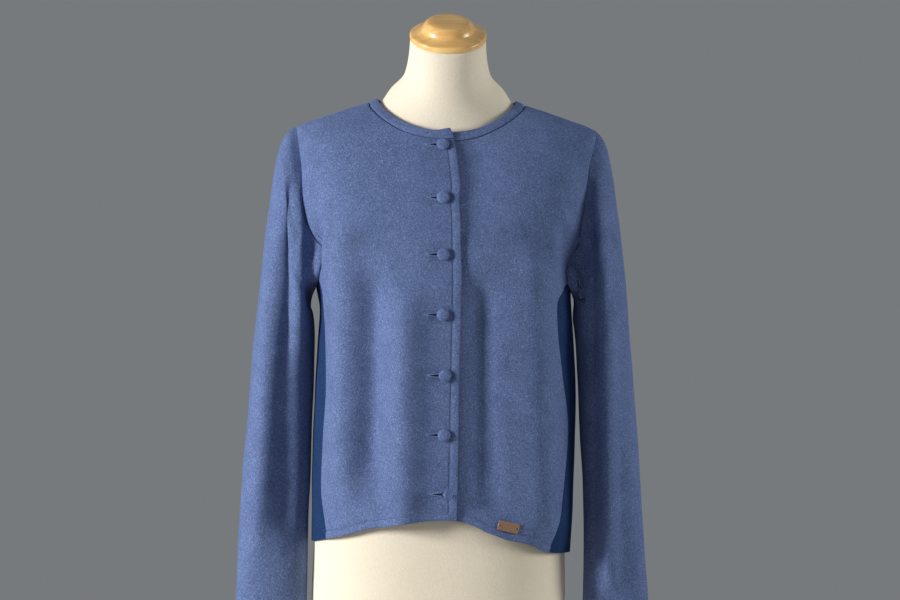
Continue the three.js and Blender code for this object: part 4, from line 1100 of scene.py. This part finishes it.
def strands(name, stitches, skin, slot):
    """Short stitches as one object. Each is its two ends, the way up, its half width and its rise."""
    points, faces = [], []
    for start, end, up, half, rise in stitches:
        along = end - start
        side = np.cross(along, up)
        side /= max(np.linalg.norm(side), 1e-9)
        faces += tube_faces(THREAD_SLICES + 1, THREAD_SIDES, len(points))
        for i in range(THREAD_SLICES + 1):
            u = i / THREAD_SLICES
            thick = half * (0.35 + 0.65 * math.sin(math.pi * min(max(u, 0.04), 0.96)) ** 0.5)
            middle = start + along * u + up * (rise * math.sin(math.pi * u))
            for angle in ring_angles(THREAD_SIDES):
                points.append(middle + side * thick * math.cos(angle) + up * thick * math.sin(angle))
    finish_piece(make_mesh(name, points, faces, skin), slot)


def hole_stitches():
    """The close stitches over both lips of each buttonhole and the tail of thread at its end."""
    made = []
    rng = np.random.default_rng(5)
    for (x, z, _), (centre, angle) in zip(BUTTONS, BUTTON_PLACES):
        left, right = x - HOLE_START, x + HOLE_END
        for along in HOLE_STITCHES:
            for way in (-1, 1):
                gape = HOLE_OPEN * along**0.8
                at = left + (right - left) * along
                close, far = z + way * (gape + 0.05), z + way * (gape + 1.5 + rng.uniform(-0.15, 0.15))
                lean = rng.uniform(-0.25, 0.25)
                s, a = place_on([at, at + lean], [close, far])
                points = cloth_point(s, a, 1, 0.28)
                up = body_normal(s, a)[0]
                made.append((points[0], points[1], up, 0.3, 0.14))
        for tail in range(3):
            s, a = place_on([left + 1, left - 2.2 - 0.9 * tail], [z, z + 0.8 * (tail - 1)])
            points = cloth_point(s, a, 1, 0.3)
            made.append((points[0], points[1], body_normal(s, a)[0], 0.26, 0.2))
    strands("buttonhole_stitches", made, hole_thread, "blue_wool")


def run_of_stitches(station, angle, lap, lift):
    """Even stitches along a line of places on the cloth."""
    points, ups = cloth_point(station, angle, lap, lift), body_normal(station, angle)
    run = lengths(points)

    def at(distance, rows):
        return np.array([np.interp(distance, run, column) for column in rows.T])

    return [
        (at(start, points), at(start + STITCH_LENGTH, points), unit(at(start + STITCH_LENGTH / 2, ups)),
         STITCH_HALF, STITCH_RISE)
        for start in np.arange(0.5, run[-1] - STITCH_LENGTH, STITCH_LENGTH + STITCH_SPACE)
    ]


def topstitching():
    """The stitched lines along the turned front edge and all round the turned hems."""
    groove = TURN_RISE * 0.5 - STITCH_GROOVE + 0.2
    rows = np.linspace(0.3, BAND_SEAM - 0.15, 700)
    edge = angle_on(rows, lambda z: LAP_EDGE(z) - TURN_WIDTH, 1)
    made = run_of_stitches(rows, edge, 1, groove)
    foot = rows[:1]
    for low, high, lap in (
        (front_limit(foot, -1), edge, 1),
        (lap_edge(foot), front_limit(foot, 1), -1),
        (back_limit(foot, 1), 2 * math.pi + back_limit(foot, -1), 0),
    ):
        angle = np.linspace(low[0] + 0.01, high[0] - 0.01, 500)
        height = np.linspace(0, 0.5, 60)
        columns = body_point(*np.meshgrid(height, angle, indexing="ij"))
        run = lengths(columns)
        station = np.array([np.interp(TURN_WIDTH, run[:, j], height) for j in range(len(angle))])
        made += run_of_stitches(station, angle, lap, groove)
    strands("topstitching", made, thread, "blue_wool")


def tag_spot(along, up):
    """The station and angle of a place on the tag, seen along its own edges."""
    tilt = math.radians(LABEL["tilt"])
    x = LABEL["x"] + along * math.cos(tilt) - up * math.sin(tilt)
    z = LABEL["z"] + along * math.sin(tilt) + up * math.cos(tilt)
    return place_on(x, z)


def tag_piece():
    """The leather tag: a bare slab that follows the cloth, its corners and edges eased."""
    along, down = np.meshgrid(np.linspace(-0.5, 0.5, 40), np.linspace(-0.5, 0.5, 20))
    half_width, half_height = LABEL["width"] / 2, LABEL["height"] / 2
    sideways, up = along * LABEL["width"], down * LABEL["height"]
    over = np.maximum(np.abs(up) - (half_height - LABEL["corner"]), 0)
    inset = LABEL["corner"] - np.sqrt(np.maximum(LABEL["corner"] ** 2 - over**2, 0))
    sideways = sideways * (1 - inset / half_width)
    spot = tag_spot(sideways, up)
    edge = np.minimum(half_width - np.abs(sideways), half_height - np.abs(up))
    ease = 0.25 * np.clip(1 - edge / 0.7, 0, 1) ** 2
    top = cloth_point(*spot, -1, LABEL["lift"] + LABEL["thick"] - ease)
    under = cloth_point(*spot, -1, LABEL["lift"])
    finish_piece(make_wall("leather_tag", top, under, tag_leather), "label_leather", "hem_label")


def tag_sewing():
    """A hole at each end of the tag, drawn as a near-black plug of painted shade, and the pale thread that
    holds it.
    """
    face = LABEL["lift"] + LABEL["thick"]
    tall = np.array([0, 0, 0.9])
    holes, stitches = [], []
    for end in (-1, 1):
        places = [
            tag_spot(np.array(end * out), np.array(up)) for out, up in ((10.9, 0.0), (10.9, 0.2), (13.4, 0.4))]
        lifts = (face, face + 0.12, face - 0.9)
        middle, inner, outer = (cloth_point(*place, -1, lift) for place, lift in zip(places, lifts))
        up = body_normal(*places[0])
        # Each hole is a short near-black plug: painted shade standing for the dark inside the hole.
        holes.append((middle - tall, middle + tall, up, 0.75, 0.02))
        stitches.append((inner, outer, up, 0.42, 0.35))
    strands("painted_shade_plugs", holes, hole_painted_shade, "label_leather")
    strands("tag_stitches", stitches, pale_thread, "blue_wool")


# ---- Build ----

back_piece()
neckband_piece()
for side in (-1, 1):
    front_piece(side)
    side_piece(side)
    sleeve_piece(side)
form_piece()
cap_piece()
for index in range(len(BUTTONS)):
    button_piece(index)
allowances()
hole_stitches()
topstitching()
tag_piece()
tag_sewing()

# ---- The cut of each piece of cloth ----


def state_cut(node, first_row=0.0, column=50):
    """Works out a cloth piece's widest measure along the cloth and its length, and keeps neither.
    first_row is the share of its rows that are left out of the width, as a sleeve's head is. column is the
    percentile of its columns that gives the length: 50 where the outer ones run on along a shoulder seam."""
    name = f"cloth_{node}"
    face = OUTER_FACES[name] * MM
    width = lengths(face[int(first_row * len(face)):], axis=1)[:, -1].max()
    length = np.percentile(lengths(face)[-1], column)


state_cut("front_right")
state_cut("front_left")
state_cut("back")
state_cut(
    "neckband", column=100)
for side in SIDES.values():
    state_cut(f"side_panel_{side}")
    state_cut(f"sleeve_{side}", first_row=0.25, column=100)

# ---- Floor, light and camera ----

FLOOR_RADIUS = 1.5
floor_mesh = bpy.data.meshes.new("floor")
floor_turns = np.linspace(0, 2 * math.pi, 96, endpoint=False)
floor_rim = [(FLOOR_RADIUS * math.cos(t), FLOOR_RADIUS * math.sin(t), 0) for t in floor_turns]
floor_mesh.from_pydata(floor_rim, [], [tuple(range(len(floor_rim)))])
floor_mesh.materials.append(plain("pale_floor", (0.62, 0.6, 0.57), 0.95))
floor = bpy.data.objects.new("floor", floor_mesh)
bpy.context.scene.collection.objects.link(floor)


def area_light(name, place, target, width, height, power, colour):
    data = bpy.data.lights.new(name, "AREA")
    data.shape = "RECTANGLE"
    data.size, data.size_y = width, height
    data.energy = power
    data.color = colour
    light = bpy.data.objects.new(name, data)
    light.location = place
    light.rotation_mode = "QUATERNION"
    light.rotation_quaternion = (Vector(target) - Vector(place)).to_track_quat("-Z", "Y")
    bpy.context.scene.collection.objects.link(light)


area_light("key", (-2.9, -1.4, 0.95), (0, 0, 0.48), 0.6, 1.1, 130, (1, 0.985, 0.96))
area_light("fill", (3.1, -0.5, 1.0), (0, 0, 0.5), 1.2, 1.4, 44, (1, 1, 0.95))
world = bpy.data.worlds.new("studio")
world.use_nodes = True
world.node_tree.nodes["Background"].inputs["Color"].default_value = (0.9, 0.95, 1, 1)
world.node_tree.nodes["Background"].inputs["Strength"].default_value = 0.205
bpy.context.scene.world = world

camera_data = bpy.data.cameras.new("camera")
camera_data.sensor_width = 36
camera_data.lens = 369.4
camera_data.clip_start, camera_data.clip_end = 0.1, 80
camera = bpy.data.objects.new("camera", camera_data)
camera.location = (0.00845, -12, 0.481)
camera.rotation_euler = (QUARTER, math.radians(-1), 0)
bpy.context.scene.collection.objects.link(camera)
bpy.context.scene.camera = camera
bpy.context.scene.view_settings.view_transform = "Standard"
